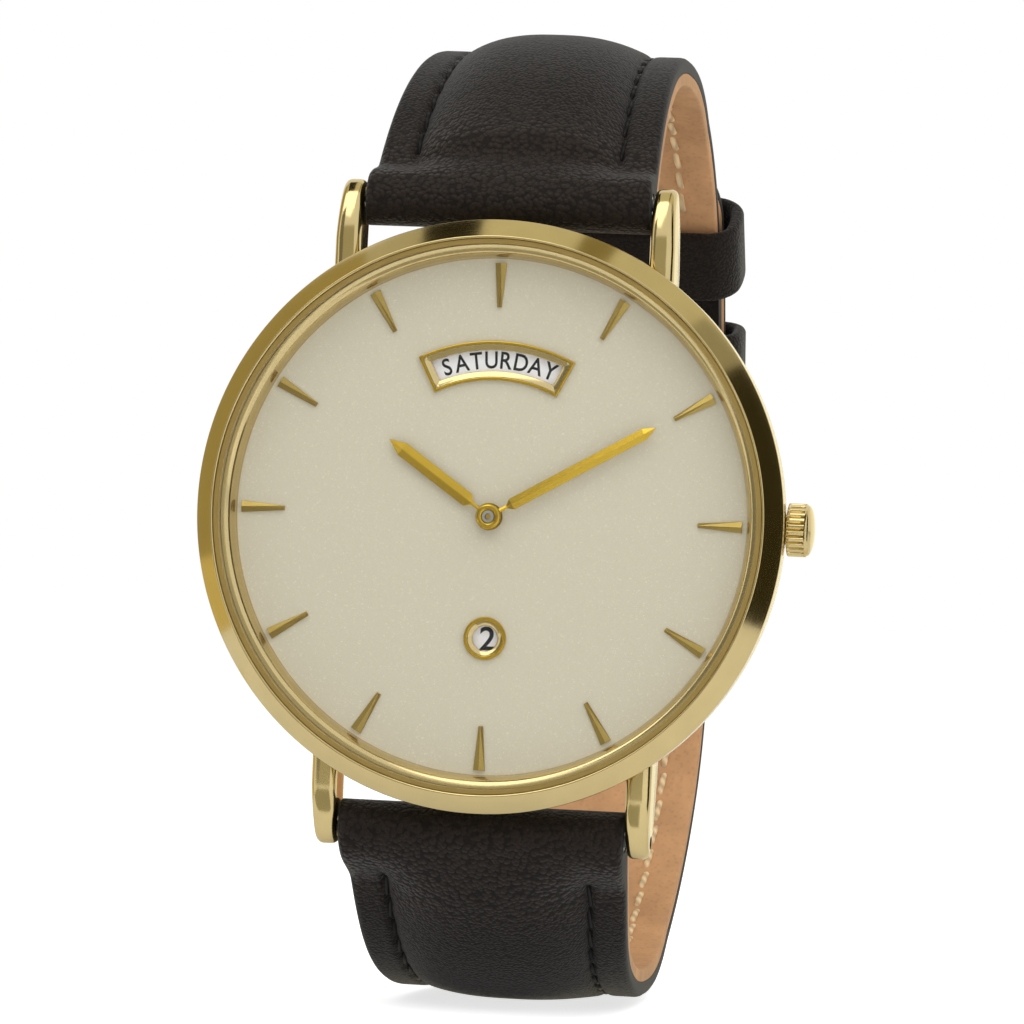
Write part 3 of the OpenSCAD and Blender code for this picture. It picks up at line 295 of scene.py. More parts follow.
def grained_leather(name, tint):
    """Drum-dyed calf, embossed with a small pebble grain: dull creases, satin pebbles, smooth cut edges, with painted
    shade in the creases and painted highlights on the pebbles.
    """
    material, tree, shader, place = start_material(name, Specular_IOR_Level=0.14, Sheen_Weight=0.1,
                                                   Sheen_Roughness=0.5)
    wander = add(tree, "TexNoise", {"Vector": place, "Scale": per_mm(1.1), "Detail": 2.0}).outputs["Color"]
    warped = add(tree, "VectorMath", {0: wander, 1: (0.3 * MM,) * 3, 2: place}, operation="MULTIPLY_ADD").outputs[0]
    grains = [{"Vector": warped, "Scale": per_mm(cell)} for cell in (0.22, 0.34)]
    fine, broad = [add(tree, "TexVoronoi", grain, feature="F1").outputs["Distance"] for grain in grains]
    marks = [add(tree, "Attribute", attribute_name=name) for name in ("creased", "painted")]
    creased, painted = [mark.outputs["Fac"] for mark in marks]
    pebble = add(tree, "Mix", {"Factor": creased, "A": fine, "B": broad}).outputs["Result"]
    steep = add(tree, "Math", {0: pebble, 1: 2.0}, operation="POWER").outputs[0]
    dome = add(tree, "MapRange", {"Value": steep, "From Max": 0.5, "To Min": 1.0, "To Max": 0.0}).outputs["Result"]
    pore = add(tree, "TexNoise", {"Vector": place, "Scale": per_mm(0.12), "Detail": 3.0}).outputs["Fac"]
    relief = add(tree, "Math", {0: pore, 1: 0.25, 2: dome}, operation="MULTIPLY_ADD").outputs[0]
    bare = add(tree, "Math", {0: 1.0, 1: painted}, operation="SUBTRACT").outputs[0]
    # The grain stands out where the leather is gathered round the spring bar, in relief and in the painted crease
    # shade and pebble highlights
    depth = add(tree, "MapRange", {"Value": creased, "To Min": 0.4, "To Max": 1.0}).outputs["Result"]
    deep = add(tree, "Math", {0: depth, 1: bare}, operation="MULTIPLY").outputs[0]
    height = add(tree, "Math", {0: relief, 1: deep}, operation="MULTIPLY").outputs[0]
    cloud = add(tree, "TexNoise", {"Vector": place, "Scale": per_mm(7), "Detail": 3.0}).outputs["Fac"]
    # The colour follows the grain's height: painted shade in the creases and painted highlights on the pebble tops;
    # the cloud adds the leather's own uneven tone
    shade = add(tree, "Math", {0: cloud, 1: 0.5, 2: height}, operation="MULTIPLY_ADD").outputs[0]
    led(tree, shader, tint, tone=(shade, 0.15, 1.45), gloss=(height, 0.7, 0.34), bump=(height, 1.0, 0.1))
    return material


def lining_leather(tint):
    """Vegetable-tanned lining, smooth side out: warm mottling and darker pores, hardly any gloss."""
    material, tree, shader, place = start_material("lining_leather_tanned", Specular_IOR_Level=0.3)
    mottle = add(tree, "TexNoise", {"Vector": place, "Scale": per_mm(3.5), "Detail": 5.0, "Roughness": 0.6})
    mottle = mottle.outputs["Fac"]
    pore = add(tree, "TexVoronoi", {"Vector": place, "Scale": per_mm(0.4)}, feature="F1").outputs["Distance"]
    dots = add(tree, "MapRange", {"Value": pore, "From Max": 0.45, "To Min": -0.18, "To Max": 0.0}).outputs["Result"]
    shade = add(tree, "Math", {0: mottle, 1: dots}, operation="ADD").outputs[0]
    led(tree, shader, tint, tone=(shade, 0.7, 1.1, 0.2, 0.7), gloss=(mottle, 0.6, 0.85), bump=(shade, 0.4, 0.04))
    return material


def twisted_thread(name, tint):
    """Waxed polyester thread, three strands twisted: slanting ridges with a waxy sheen."""
    material, tree, shader, place = start_material(name, Specular_IOR_Level=0.25)
    twist = {"Vector": place, "Scale": per_mm(0.3) / math.tau, "Distortion": 1.5, "Detail": 2.0}
    strand = add(tree, "TexWave", twist, wave_type="BANDS", bands_direction="DIAGONAL").outputs["Fac"]
    # The colour follows the strands' relief: painted shade in the grooves between strands
    led(tree, shader, tint, tone=(strand, 0.65, 1.05), gloss=(strand, 0.75, 0.5), bump=(strand, 0.5, 0.04))
    return material


PALETTE = {}


def palette(colours):
    """All materials of the watch by short name, made once."""
    if not PALETTE:
        PALETTE.update(
            case=polished_plating("gold_plate_polished", colours.case_gold, 0.13),
            trim=polished_plating("gold_plate_diamond_cut", colours.trim_gold, 0.2),
            marker=polished_plating("gold_plate_satin", colours.marker_gold, 0.34),
            steel=turned_metal("steel_brushed", colours.steel, 0.3, 0.12),
            brass=turned_metal("brass_turned", colours.brass, 0.32, 0.15),
            magnet=turned_metal("magnet_sintered", srgb("5a5d61"), 0.45, 0.2),
            copper=turned_metal("copper_wire_enamelled", srgb("b06a38"), 0.35, 0.06),
            crystal=mineral_crystal(),
            dial=lacquered_dial(colours.dial),
            enamel=even_coat("calendar_enamel_printed", colours.calendar, 0.45, 0.2, 0.004, 0.015),
            ink=even_coat("ink_pad_printed", colours.ink, 0.65, 0.1, 0.003),
            plastic=even_coat("acetal_moulded", srgb("e6e2d8"), 0.4, 0.3, 0.01),
            board=even_coat("glass_epoxy_etched", srgb("2f6b3f"), 0.4, 0.25, 0.01, 0.15),
            rubber=even_coat("nitrile_rubber_moulded", srgb("222222"), 0.6, 0.15, 0.01),
            gasket=even_coat("nylon_gasket_moulded", srgb("957c3d"), 0.35, 0.2, 0.005),
            leather=grained_leather("calf_leather_grained", colours.leather),
            lining=lining_leather(colours.lining),
            felt=even_coat("wool_felt_pressed", srgb("8a8378"), 0.95, 0.15, 0.06, 0.2),
            dark_thread=twisted_thread("thread_waxed_black", colours.dark_thread),
            pale_thread=twisted_thread("thread_waxed_cream", colours.pale_thread),
        )
    return PALETTE


def finish_nodes(material, *nodes):
    """Gives CAD nodes their finish."""
    for name in nodes:
        slots = NODES[name].data.materials
        slots.clear()
        slots.append(material)


# Shapes


def filleted(points, radius, steps=3, closed=True):
    """The outline with its corners rounded."""
    count = len(points)
    rounded = []
    for i, corner in enumerate(points):
        if not closed and i in (0, count - 1):
            rounded.append(tuple(corner))
            continue
        here = Vector(corner)
        before, after = Vector(points[i - 1]) - here, Vector(points[(i + 1) % count]) - here
        cut = min(radius, 0.45 * before.length, 0.45 * after.length)
        a, b = here + cut * before.normalized(), here + cut * after.normalized()
        for k in range(steps + 1):
            t = k / steps
            rounded.append(tuple((1 - t) ** 2 * a + 2 * t * (1 - t) * here + t * t * b))
    return rounded


def arc(middle, wide, tall, degrees):
    """Points of an ellipse about its middle."""
    turns = [math.radians(a) for a in degrees]
    return [(middle[0] + wide * math.cos(t), middle[1] + tall * math.sin(t)) for t in turns]


def outline(points, closed=True):
    """A new drawing that holds one line of points."""
    bm = bmesh.new()
    verts = [bm.verts.new(p) for p in points]
    for a, b in zip(verts, verts[1:] + (verts[:1] if closed else [])):
        bm.edges.new((a, b))
    return bm


def spun(profile, steps=240, closed=True):
    """A profile of radius and height turned about the vertical axis."""
    bm = outline([(r, 0, z) for r, z in profile], closed)
    bmesh.ops.spin(bm, geom=bm.verts[:] + bm.edges[:], cent=(0, 0, 0), axis=(0, 0, 1), angle=math.tau,
                   steps=steps, use_merge=True)
    bmesh.ops.remove_doubles(bm, verts=bm.verts, dist=1e-5)
    return bm


def bar(points, width, rounding=0.0, segments=4):
    """A flat outline in the YZ plane given a width along X and rounded long edges."""
    bm = outline([(-width / 2, y, z) for y, z in points])
    face = bmesh.ops.contextual_create(bm, geom=bm.edges[:])["faces"]
    pushed = bmesh.ops.extrude_face_region(bm, geom=face, use_keep_orig=True)
    bmesh.ops.translate(bm, vec=(width, 0, 0), verts=[v for v in pushed["geom"] if isinstance(v, bmesh.types.BMVert)])
    bmesh.ops.recalc_face_normals(bm, faces=bm.faces)
    if rounding:
        ends = [e for e in bm.edges if abs(e.verts[0].co.x - e.verts[1].co.x) < 1e-6]
        bmesh.ops.bevel(bm, geom=ends, offset=rounding, offset_type="OFFSET", segments=segments, profile=0.5,
                        affect="EDGES", material=-1, clamp_overlap=True)
    return bm


def rod(radius, start, end, steps=32):
    """A round tool or pin along X."""
    bm = spun([(0, start), (radius, start), (radius, end), (0, end)], steps, closed=False)
    bmesh.ops.rotate(bm, verts=bm.verts, matrix=Matrix.Rotation(math.pi / 2, 3, "Y"))
    return bm


def rolled(columns, rows, place, marks=None):
    """A grid whose points are moved to place(i, j), sewn up where its sides meet and closed at its ends."""
    bm = bmesh.new()
    layers = {name: bm.verts.layers.float.new(name) for name in marks or {}}
    bmesh.ops.create_grid(bm, x_segments=columns, y_segments=rows, size=1)
    for vert in bm.verts:
        i, j = round((vert.co.x + 1) / 2 * columns), round((vert.co.y + 1) / 2 * rows)
        vert.co = place(i, j)
        for name, layer in layers.items():
            vert[layer] = marks[name](i, j)
    bmesh.ops.remove_doubles(bm, verts=bm.verts, dist=1e-5)
    bmesh.ops.dissolve_degenerate(bm, dist=1e-6, edges=bm.edges)
    bmesh.ops.holes_fill(bm, edges=[e for e in bm.edges if e.is_boundary])
    return bm


def merged(*drawings):
    """One drawing that holds all of them."""
    whole = drawings[0]
    for other in drawings[1:]:
        mesh = bpy.data.meshes.new("part")
        other.to_mesh(mesh)
        other.free()
        whole.from_mesh(mesh)
        bpy.data.meshes.remove(mesh)
    return whole


def drawn(name, bm):
    """An object in millimetres from a drawing."""
    bmesh.ops.recalc_face_normals(bm, faces=bm.faces)
    mesh = bpy.data.meshes.new(name)
    bm.to_mesh(mesh)
    bm.free()
    thing = bpy.data.objects.new(name, mesh)
    bpy.context.scene.collection.objects.link(thing)
    return thing


def worked(thing, tool, operation):
    """Joins a tool to an object or cuts it out of it."""
    helper = drawn("tool", tool)
    step = thing.modifiers.new("work", "BOOLEAN")
    step.object, step.operation, step.solver = helper, operation, "EXACT"
    bpy.context.view_layer.update()
    result = bpy.data.meshes.new_from_object(thing.evaluated_get(bpy.context.evaluated_depsgraph_get()))
    thing.modifiers.clear()
    thing.data = result
    bpy.data.objects.remove(helper)


def make(name, bm, material, body, replaced=(), sharp=32, joined=None, cut=()):
    """Finishes a drawing as a piece of the watch that rides on a CAD body."""
    piece = drawn(name, bm)
    if joined is not None:
        worked(piece, joined, "UNION")
    for tool in cut:
        worked(piece, tool, "DIFFERENCE")
    mesh = piece.data
    mesh.name = name
    mesh.transform(Matrix.Scale(MM, 4))
    mesh.materials.clear()
    mesh.materials.append(material)
    mesh.polygons.foreach_set("use_smooth", [True] * len(mesh.polygons))
    mesh.set_sharp_from_angle(angle=math.radians(sharp))
    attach(piece, body)
    if replaced:
        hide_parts(*replaced)
    return piece


# Strap

HALVES = (("upper", True), ("lower", False))
# Width of the tongue's notch and slot
TONGUE_SLOT = 2.3


def ease(value, start, end):
    """Smooth step from 0 at start to 1 at end."""
    t = min(1, max(0, (value - start) / (end - start)))
    return t * t * (3 - 2 * t)


def signed_power(value, power):
    return math.copysign(abs(value) ** power, value)


class StrapLoop:
    """The closed strap's line in the YZ plane, measured from the upper spring bar over the top."""

    # Exponent of the rounded loop, steps of its table of lengths and how far that runs on past the bars
    power, steps, overrun = 2.4, 300, math.radians(12)
    # Length of the upper half from bar to bar
    upper_len = 74.5

    def __init__(self, sizes):
        low, high = node_box("spring_bar_tubes")
        bar_y, bar_z = (low.y + high.y) / 2, high.z - (high.y - low.y) / 2
        thick = sizes.leather + sizes.lining
        back = sizes.wrist_depth / 2 + thick
        self.tall = sizes.wrist_height / 2 + thick
        side = (1 - (bar_z / self.tall) ** self.power) ** (1 / self.power)
        self.deep = (back - bar_y) / (1 + side)
        self.middle = back - self.deep
        turn = math.acos(-side ** (self.power / 2))
        first, last = turn + self.overrun, -turn - self.overrun
        self.angles = [first + (last - first) * i / self.steps for i in range(self.steps + 1)]
        self.table = [0.0]
        for a, b in zip(self.angles, self.angles[1:]):
            self.table.append(self.table[-1] + (self.point(b) - self.point(a)).length)
        self.start = self.reached(turn)
        self.lower_len = self.reached(-turn) - self.start - self.upper_len

    def point(self, angle):
        """Point of the loop at an angle."""
        return Vector((self.middle + self.deep * signed_power(math.cos(angle), 2 / self.power),
                       self.tall * signed_power(math.sin(angle), 2 / self.power)))

    def reached(self, angle):
        """Length run from the table's start to an angle."""
        step = (self.angles[0] - angle) / (self.angles[0] - self.angles[1])
        i = min(int(step), self.steps - 1)
        return self.table[i] + (step - i) * (self.table[i + 1] - self.table[i])

    def at(self, s):
        """Point and outward normal at a distance along the strap."""
        s += self.start
        i = min(max(bisect_right(self.table, s) - 1, 0), self.steps - 1)
        t = (s - self.table[i]) / (self.table[i + 1] - self.table[i])
        p = self.point(self.angles[i] + t * (self.angles[i + 1] - self.angles[i]))
        n = Vector((signed_power((p.x - self.middle) / self.deep, self.power - 1) / self.deep,
                    signed_power(p.y / self.tall, self.power - 1) / self.tall))
        return p, n.normalized()

    def matrix(self, s):
        """Frame on the strap: X across, Y along the strap, Z outwards."""
        p, n = self.at(s)
        return Matrix(((1, 0, 0, 0), (0, n.y, n.x, p.x), (0, -n.x, n.y, p.y), (0, 0, 0, 1)))


class StrapHalf:
    """One half of the strap: its widths, levels and faces at a distance s from its spring bar."""

    # Points across the outer face, across the inner face and round an edge
    across, roof, corner = 84, 24, 4
    # Lengths of the tail past the buckle's bar, of its rounded tip, and of the upper half's fold at that bar
    tail, tip, fold = 27, 8, 18

    def __init__(self, loop, sizes, upper):
        self.loop, self.sizes, self.upper = loop, sizes, upper
        self.side = 1 if upper else -1
        self.thick = sizes.leather + sizes.lining
        self.bar = loop.upper_len if upper else loop.lower_len
        self.pad_end = 42 if upper else 36
        # How far from the bar the roll has sunk and the padding risen
        self.drop, self.rise = (3.2, 4.2) if upper else (5, 5)
        self.end = self.bar + (self.thick if upper else self.tail)
        self.lined_to = self.bar - self.fold if upper else self.end
        self.sewn_to = self.bar - 6.5 if upper else self.end - 3.2

    def width(self, s):
        """Half the strap's width."""
        w = (self.sizes.width + (self.sizes.end_width - self.sizes.width) * min(1, max(0, s / self.sizes.taper))) / 2
        if not self.upper:
            u = min(1, max(0, (s - self.end + self.tip) / self.tip))
            w *= (1 - u * u) ** 0.6
        return w

    def roll(self, d):
        """Height of the fold round a bar, at a distance from the bar."""
        return math.sqrt(max(0, self.thick ** 2 - d * d))

    def lift(self, s):
        """The lower half climbs over the buckle and then lies on the upper half."""
        if self.upper:
            return 0
        climb, fall = 4.2, 2
        return climb * ease(s, self.bar - 7.5, self.bar - 0.6) - fall * ease(s, self.bar + 0.6, self.bar + 4.4)

    def top(self, s):
        """Level of the outer face's margins."""
        if self.upper and s > self.bar / 2:
            return self.roll(s - self.bar) if s > self.bar else self.thick * ease(s, self.bar - 3.5, self.bar - 0.6)
        return self.lift(s) + (self.roll(s) if s < 0 else self.thick * (1 - ease(s, 0.3, self.drop)))

    def low(self, s):
        """Level of the inner face."""
        if s < 0:
            return -self.roll(s)
        if self.upper and s > self.bar:
            return -self.roll(s - self.bar)
        return self.lift(s) - self.thick

    def lined(self, s):
        return self.thick < s < self.lined_to

    def pad(self, s):
        """Height of the padding along the middle."""
        start, end = (0.2, 1) if self.upper else (0.1, 0.92)
        return self.sizes.padding * ease(s, 0.2, self.rise) * (1 - ease(s, start * self.pad_end, end * self.pad_end))

    def margin(self, w):
        return min(self.sizes.margin, 0.3 * w)

    def seam(self, s):
        """Distance of the stitching from the strap's middle."""
        w = self.width(s)
        return w - self.margin(w) - 0.05 * min(4, w)

    def pad_half(self, s):
        """Half the padding's width."""
        w = self.width(s)
        return w - self.margin(w) - 0.1 * min(4, w)

    def bulge(self, s, x):
        """Height of the padding at x."""
        return self.pad(s) * max(0, 1 - abs(x / self.pad_half(s)) ** 2.6) ** 0.9

    def sewn(self, s):
        """How far the stitching draws the leather in, from 0 to 1."""
        return ease(s, 2.6, 4.2) * (1 - ease(s, self.sewn_to, self.sewn_to + 1.5))

    def face(self, s, x):
        """Height of the outer face, drawn in along the stitching."""
        depth, wide, waver = 0.36, 0.27, 0.35
        pull = 1 + waver * math.cos(math.tau * (s - 4) / self.sizes.pitch)
        off = (abs(x) - self.seam(s)) / wide
        groove = depth * self.sewn(s) * pull * math.exp(-off * off)
        return self.top(s) + self.bulge(s, x) - groove

    def section(self, s):
        """Points [across, out] round the leather, from the outer face's left edge, and how far each is cut edge."""
        w, lined = self.width(s), self.lined(s)
        low = self.lift(s) - self.sizes.leather if lined else self.low(s)
        edge_top = self.face(s, w)
        round_out = min(self.sizes.edge, 0.45 * w, 0.42 * (edge_top - low))
        round_in = 0.2 * round_out
        points = []
        for i in range(self.across + 1):
            x = (w - round_out) * (2 * i / self.across - 1)
            points.append((x, self.face(s, x), 0))
        turns = [(math.sin(a), math.cos(a)) for a in (math.pi / 2 * k / self.corner for k in range(self.corner + 1))]
        right = [(w - round_out * (1 - sin), edge_top - round_out * (1 - cos), k / self.corner)
                 for k, (sin, cos) in enumerate(turns) if k]
        right.append((w, (edge_top + low) / 2, 1))
        right += [(w - round_in * (1 - cos), low + round_in * (1 - sin), 1) for sin, cos in turns]
        points += right
        for i in range(1, self.roof):
            x = (w - round_in) * (1 - 2 * i / self.roof)
            points.append((x, low + (self.bulge(s, x) if lined else 0), 0))
        points += [(-x, out, paint) for x, out, paint in reversed(right)]
        return points

    def stations(self):
        """Distances along the half, close together where its shape turns."""
        ends = [math.sin(math.radians(a)) * self.thick for a in range(8, 89, 8)]
        steps = [-d for d in reversed(ends)] + [0, 0.4, 0.8, 1.2, 1.6, self.thick, self.thick + 0.05]
        s = self.thick + 0.4
        last = self.bar if self.upper else self.end - self.tip
        while s < last - 0.2:
            steps.append(s)
            s += 0.3 if s < 9 or s > self.bar - 9 else 0.6
        steps.append(last)
        if self.upper:
            steps += [self.lined_to, self.lined_to + 0.05] + [self.bar + d for d in ends]
        else:
            steps += [self.end - self.tip * (1 - math.sin(math.radians(a))) for a in range(4, 89, 4)]
        return sorted(steps)

    def sway(self, s):
        """The lower half hangs slightly towards nine o'clock between its ends."""
        return 0 if self.upper else -0.4 * ease(s, 2, 18) * (1 - ease(s, 45, 65))

    def place(self, s, x, out):
        """Where a point along, across and out from the half lies."""
        p, n = self.loop.at(s)
        return Vector((x + self.sway(s), p.x + out * n.x, self.side * (p.y + out * n.y)))

    def skin(self, stations, section, marks=None):
        """Sections set along the half and covered."""
        rings = [section(s) for s in stations]
        count = len(rings[0])
        found = {name: (lambda i, j, mark=mark: mark(stations[j], rings[j][i % count]))
                 for name, mark in (marks or {}).items()}
        return rolled(count, len(stations) - 1,
                      lambda i, j: self.place(stations[j], *rings[j][i % count][:2]), found)

    def leather_skin(self):
        marks = {
            "painted": lambda s, point: point[2],
            "creased": lambda s, point: ease(s, -3, -1) * (1 - ease(s, 3, 9)),
        }
        return self.skin(self.stations(), self.section, marks)

    def lining_section(self, s):
        side = self.width(s) - 0.03
        low, high = self.lift(s) - self.thick, self.lift(s) - self.sizes.leather - 0.01
        turn = min(0.15, 0.3 * side)
        points = []
        for i in range(17):
            x = (side - turn) * (2 * i / 16 - 1)
            dip = 0.14 * self.sewn(s) * math.exp(-((abs(x) - self.seam(s)) / 0.4) ** 2)
            points.append((x, low + dip))
        return points + [(side - 0.3 * turn, low + 0.3 * turn), (side, low + turn), (side, high), (-side, high),
                         (-side, low + turn), (-side + 0.3 * turn, low + 0.3 * turn)]

    def lining_skin(self):
        stops = [s for s in self.stations() if self.thick + 0.1 < s < self.lined_to - 0.01]
        return self.skin([self.thick + 0.1] + stops, self.lining_section)

    def padding_section(self, s):
        half, low = self.pad_half(s), -self.sizes.leather
        crown = [half * math.sin(math.radians(a)) for a in range(-90, 91, 9)]
        over = [(x, low + max(0, self.bulge(s, x) - 0.1)) for x in crown]
        return over + [(half * q, low) for q in (0.6, 0.2, -0.2, -0.6)]

    def padding_skin(self):
        stops = [s for s in self.stations() if s > 3 and self.pad(s) > 0.15]
        return self.skin(stops, self.padding_section)

    def stitches(self, inner):
        """Two rows of stitches, each a short bent cord sunk at both ends."""
        whole = bmesh.new()
        pitch, thread = self.sizes.pitch, self.sizes.thread
        first = self.thick + 2 if inner else 4
        stop = min(self.sewn_to, self.lined_to - 2.5) if inner else self.sewn_to
        count = int((stop - first) / pitch)
        for row in (-1, 1):
            for k in range(count):
                mid = first + (k + 0.5) * pitch
                if not self.upper and abs(mid - self.bar) < 1.5:
                    continue
                self.stitch(whole, mid, row, pitch * 0.45, thread * (0.7 if inner else 0.5), inner)
        return whole

    def stitch(self, whole, mid, row, reach, r, inner):
        """Adds one stitch to a drawing."""
        for vert in bmesh.ops.create_uvsphere(whole, u_segments=8, v_segments=8, radius=1)["verts"]:
            along, across, up = vert.co.z, vert.co.x, vert.co.y
            fat = r * math.sqrt(max(0, 1 - along ** 6) / max(1e-9, 1 - along * along))
            s = mid + along * reach
            x = row * (self.seam(mid) + 0.08 * along) + across * fat
            sink = 1.2 * r * along ** 4
            if inner:
                out = self.lift(s) - self.thick - 0.03 - up * fat * 0.8 + sink
            else:
                out = self.top(s) - 0.24 + up * fat - sink
            vert.co = self.place(s, x, out)


def strap_tools(loop, half):
    """Tools to cut out of a half: bores for its bars, and the tongue's notch or holes."""
    bar_r, reach = 0.8, 14
    bore = rod(bar_r, -reach, reach)
    bore.transform(Matrix.Scale(half.side, 4, (0, 0, 1)) @ loop.matrix(0))
    if not half.upper:
        return [merged(bore, *hole_tools(loop))]
    buckle_bore = rod(bar_r, -reach, reach)
    notch = bar([(-1.65, -4), (6, -4), (6, 4), (-1.65, 4)], TONGUE_SLOT)
    for tool in (buckle_bore, notch):
        tool.transform(loop.matrix(loop.upper_len))
    return [merged(bore, buckle_bore), notch]


def hole_tools(loop):
    """Buckle holes and the tongue's slot."""
    radius, pitch, middle = 0.9, 6.5, 2.85
    tools = []
    for i in (-3, -2, -1, 1, 2, 3):
        hole = spun([(0, -8), (radius, -8), (radius, 8), (0, 8)], 28, closed=False)
        hole.transform(loop.matrix(loop.upper_len + middle + pitch * i))
        tools.append(hole)
    slot = bar(filleted([(-0.5, -8), (6.2, -8), (6.2, 8), (-0.5, 8)], 0.01, 1), TONGUE_SLOT)
    slot.transform(loop.matrix(loop.upper_len))
    return tools + [slot]


def keeper_ring(loop, sizes, s):
    """A band of leather folded round both straps, with rounded edges."""
    wide, low, high, turn, swell = 8.4, -2.4, 2.6, 1.0, 0.3
    thick, half = sizes.keeper_leather, sizes.keeper_width / 2
    path = []
    for side, level, start in ((1, high, 0), (-1, high, 90), (-1, low, 180), (1, low, 270)):
        corner = Vector((side * (wide - turn), level - math.copysign(turn, level)))
        path += [(corner + turn * d, d) for d in map(Vector, arc((0, 0), 1, 1, range(start, start + 91, 9)))]
    filled = []
    for (p, d), (q, e) in zip(path, path[1:] + path[:1]):
        filled.append((p, d))
        if (q - p).length > 1:
            filled += [(p.lerp(q, k / 8), d.lerp(e, k / 8)) for k in range(1, 8)]
    middle = (low + high) / 2
    for p, _ in filled:
        if abs(p.x) > wide - turn:
            p.x += math.copysign(swell * max(0, 1 - ((p.y - middle) / (high - middle)) ** 2), p.x)
    bend = 0.55 * thick
    edge = [(thick / 2 * (1 + c), math.copysign(half - bend, d) + bend * d)
            for c, d in arc((0, 0), 1, 1, range(9, 360, 18))]
    count, rim = len(filled), len(edge)

    def place(i, j):
        p, d = filled[i % count]
        out, along = edge[j % rim]
        spot = p + out * (1 - 0.25 * abs(d.x * d.y)) * d
        return loop.matrix(s) @ Vector((spot.x, along, spot.y))

    return rolled(count, rim, place)


def strap_job(context):
    """What the strap's operators start from: sizes, materials and the strap's line."""
    sizes = in_mm(context.scene.watch_strap)
    return sizes, palette(context.scene.watch_colours), StrapLoop(sizes)


class WATCH_OT_strap(bpy.types.Operator):
    """Cuts and pads both halves of the strap and lines them"""

    bl_idname = "watch.strap"
    bl_label = "Strap"

    def execute(self, context):
        sizes, finish, loop = strap_job(context)
        for name, upper in HALVES:
            half = StrapHalf(loop, sizes, upper)
            leather = make(f"{name}_strap_calf", half.leather_skin(), finish["leather"], "case",
                           [f"{name}_strap_leather"], sharp=50, cut=strap_tools(loop, half))
            felt = make(f"{name}_strap_felt", half.padding_skin(), finish["felt"], "case",
                        [f"{name}_strap_padding"], sharp=50)
            make(f"{name}_strap_inside", half.lining_skin(), finish["lining"], "case",
                 [f"{name}_strap_lining"], sharp=50, cut=[] if upper else [merged(*hole_tools(loop))])
        return {"FINISHED"}


class WATCH_OT_stitching(bpy.types.Operator):
    """Sews the strap with dark thread outside and pale thread on the lining"""

    bl_idname = "watch.stitching"
    bl_label = "Stitching"

    def execute(self, context):
        sizes, finish, loop = strap_job(context)
        for name, upper in HALVES:
            half = StrapHalf(loop, sizes, upper)
            make(f"{name}_strap_outer_stitches", half.stitches(False), finish["dark_thread"], "case",
                 sharp=80)
            make(f"{name}_strap_lining_stitches", half.stitches(True), finish["pale_thread"], "case",
                 sharp=80)
        return {"FINISHED"}


class WATCH_OT_keepers(bpy.types.Operator):
    """Folds the fixed and the free keeper round the strap"""

    bl_idname = "watch.keepers"
    bl_label = "Keepers"

    # Each keeper's body and distance from the buckle's bar
    places = {"fixed_keeper": ("case", 7.7), "free_keeper": ("free_keeper", 17)}

    def execute(self, context):
        sizes, finish, loop = strap_job(context)
        for node, (body, before) in self.places.items():
            make(f"{node}_band", keeper_ring(loop, sizes, loop.upper_len - before), finish["leather"], body,
                 [node], sharp=60)
        return {"FINISHED"}


class WATCH_OT_buckle(bpy.types.Operator):
    """Forms the buckle's frame and tongue with softened edges"""

    bl_idname = "watch.buckle"
    bl_label = "Buckle"

    def execute(self, context):
        _, finish, loop = strap_job(context)
        at_bar = loop.matrix(loop.upper_len)
        arm_x, cross_r, cross_at = 9.2, 0.9, (8.5, 0.6)
        side = arc((0, 0), 1.3, 1.3, range(90, 271, 10)) + arc(cross_at, cross_r, cross_r, range(-90, 91, 12))
        arms = []
        for x in (-arm_x, arm_x):
            arm = bar(side, 1.7, 0.3, 4)
            arm.transform(Matrix.Translation((x, 0, 0)))
            arms.append(arm)
        cross = rod(cross_r, -arm_x, arm_x, 40)
        cross.transform(Matrix.Translation((0, *cross_at)))
        hole = rod(0.45, -12, 12)
        rest, tip = 1.55, 9.9
        ring = arc((0, 0), 1.4, 1.4, range(90, 241, 10)) + [(0.4, -1.34), (1.1, -0.86)]
        blade = [(1.05, 0.6), (7.9, rest), (9.3, rest), (tip, rest - 0.1), (tip + 0.1, rest + 0.15),
                 (tip - 0.3, rest + 0.49), (7.9, rest + 0.65)]
        tongue = bar(ring + blade, 1.8, 0.18, 3)
        for vert in tongue.verts:
            vert.co.x *= 1 - 0.35 * ease(vert.co.y, 6.5, tip)
        eye = rod(0.8, -3, 3)
        for shape in (*arms, cross, hole, tongue, eye):
            shape.transform(at_bar)
        make("buckle_frame_polished", merged(*arms), finish["case"], "buckle_frame", ["buckle_frame"],
             joined=cross, cut=[hole])
        make("buckle_tongue_polished", tongue, finish["case"], "buckle_tongue", ["buckle_tongue"],
             cut=[eye])
        finish_nodes(finish["case"], "buckle_bar")
        return {"FINISHED"}


# Head

# Height of the date window's middle on the dial
DATE_Y = -8.2


def on_head(bm):
    """Takes a drawing from the dial's own frame to the watch's."""
    bm.transform(HEAD)
    return bm


def head_job(context):
    """What the head's operators start from: sizes and materials."""
    return in_mm(context.scene.watch_head), palette(context.scene.watch_colours)


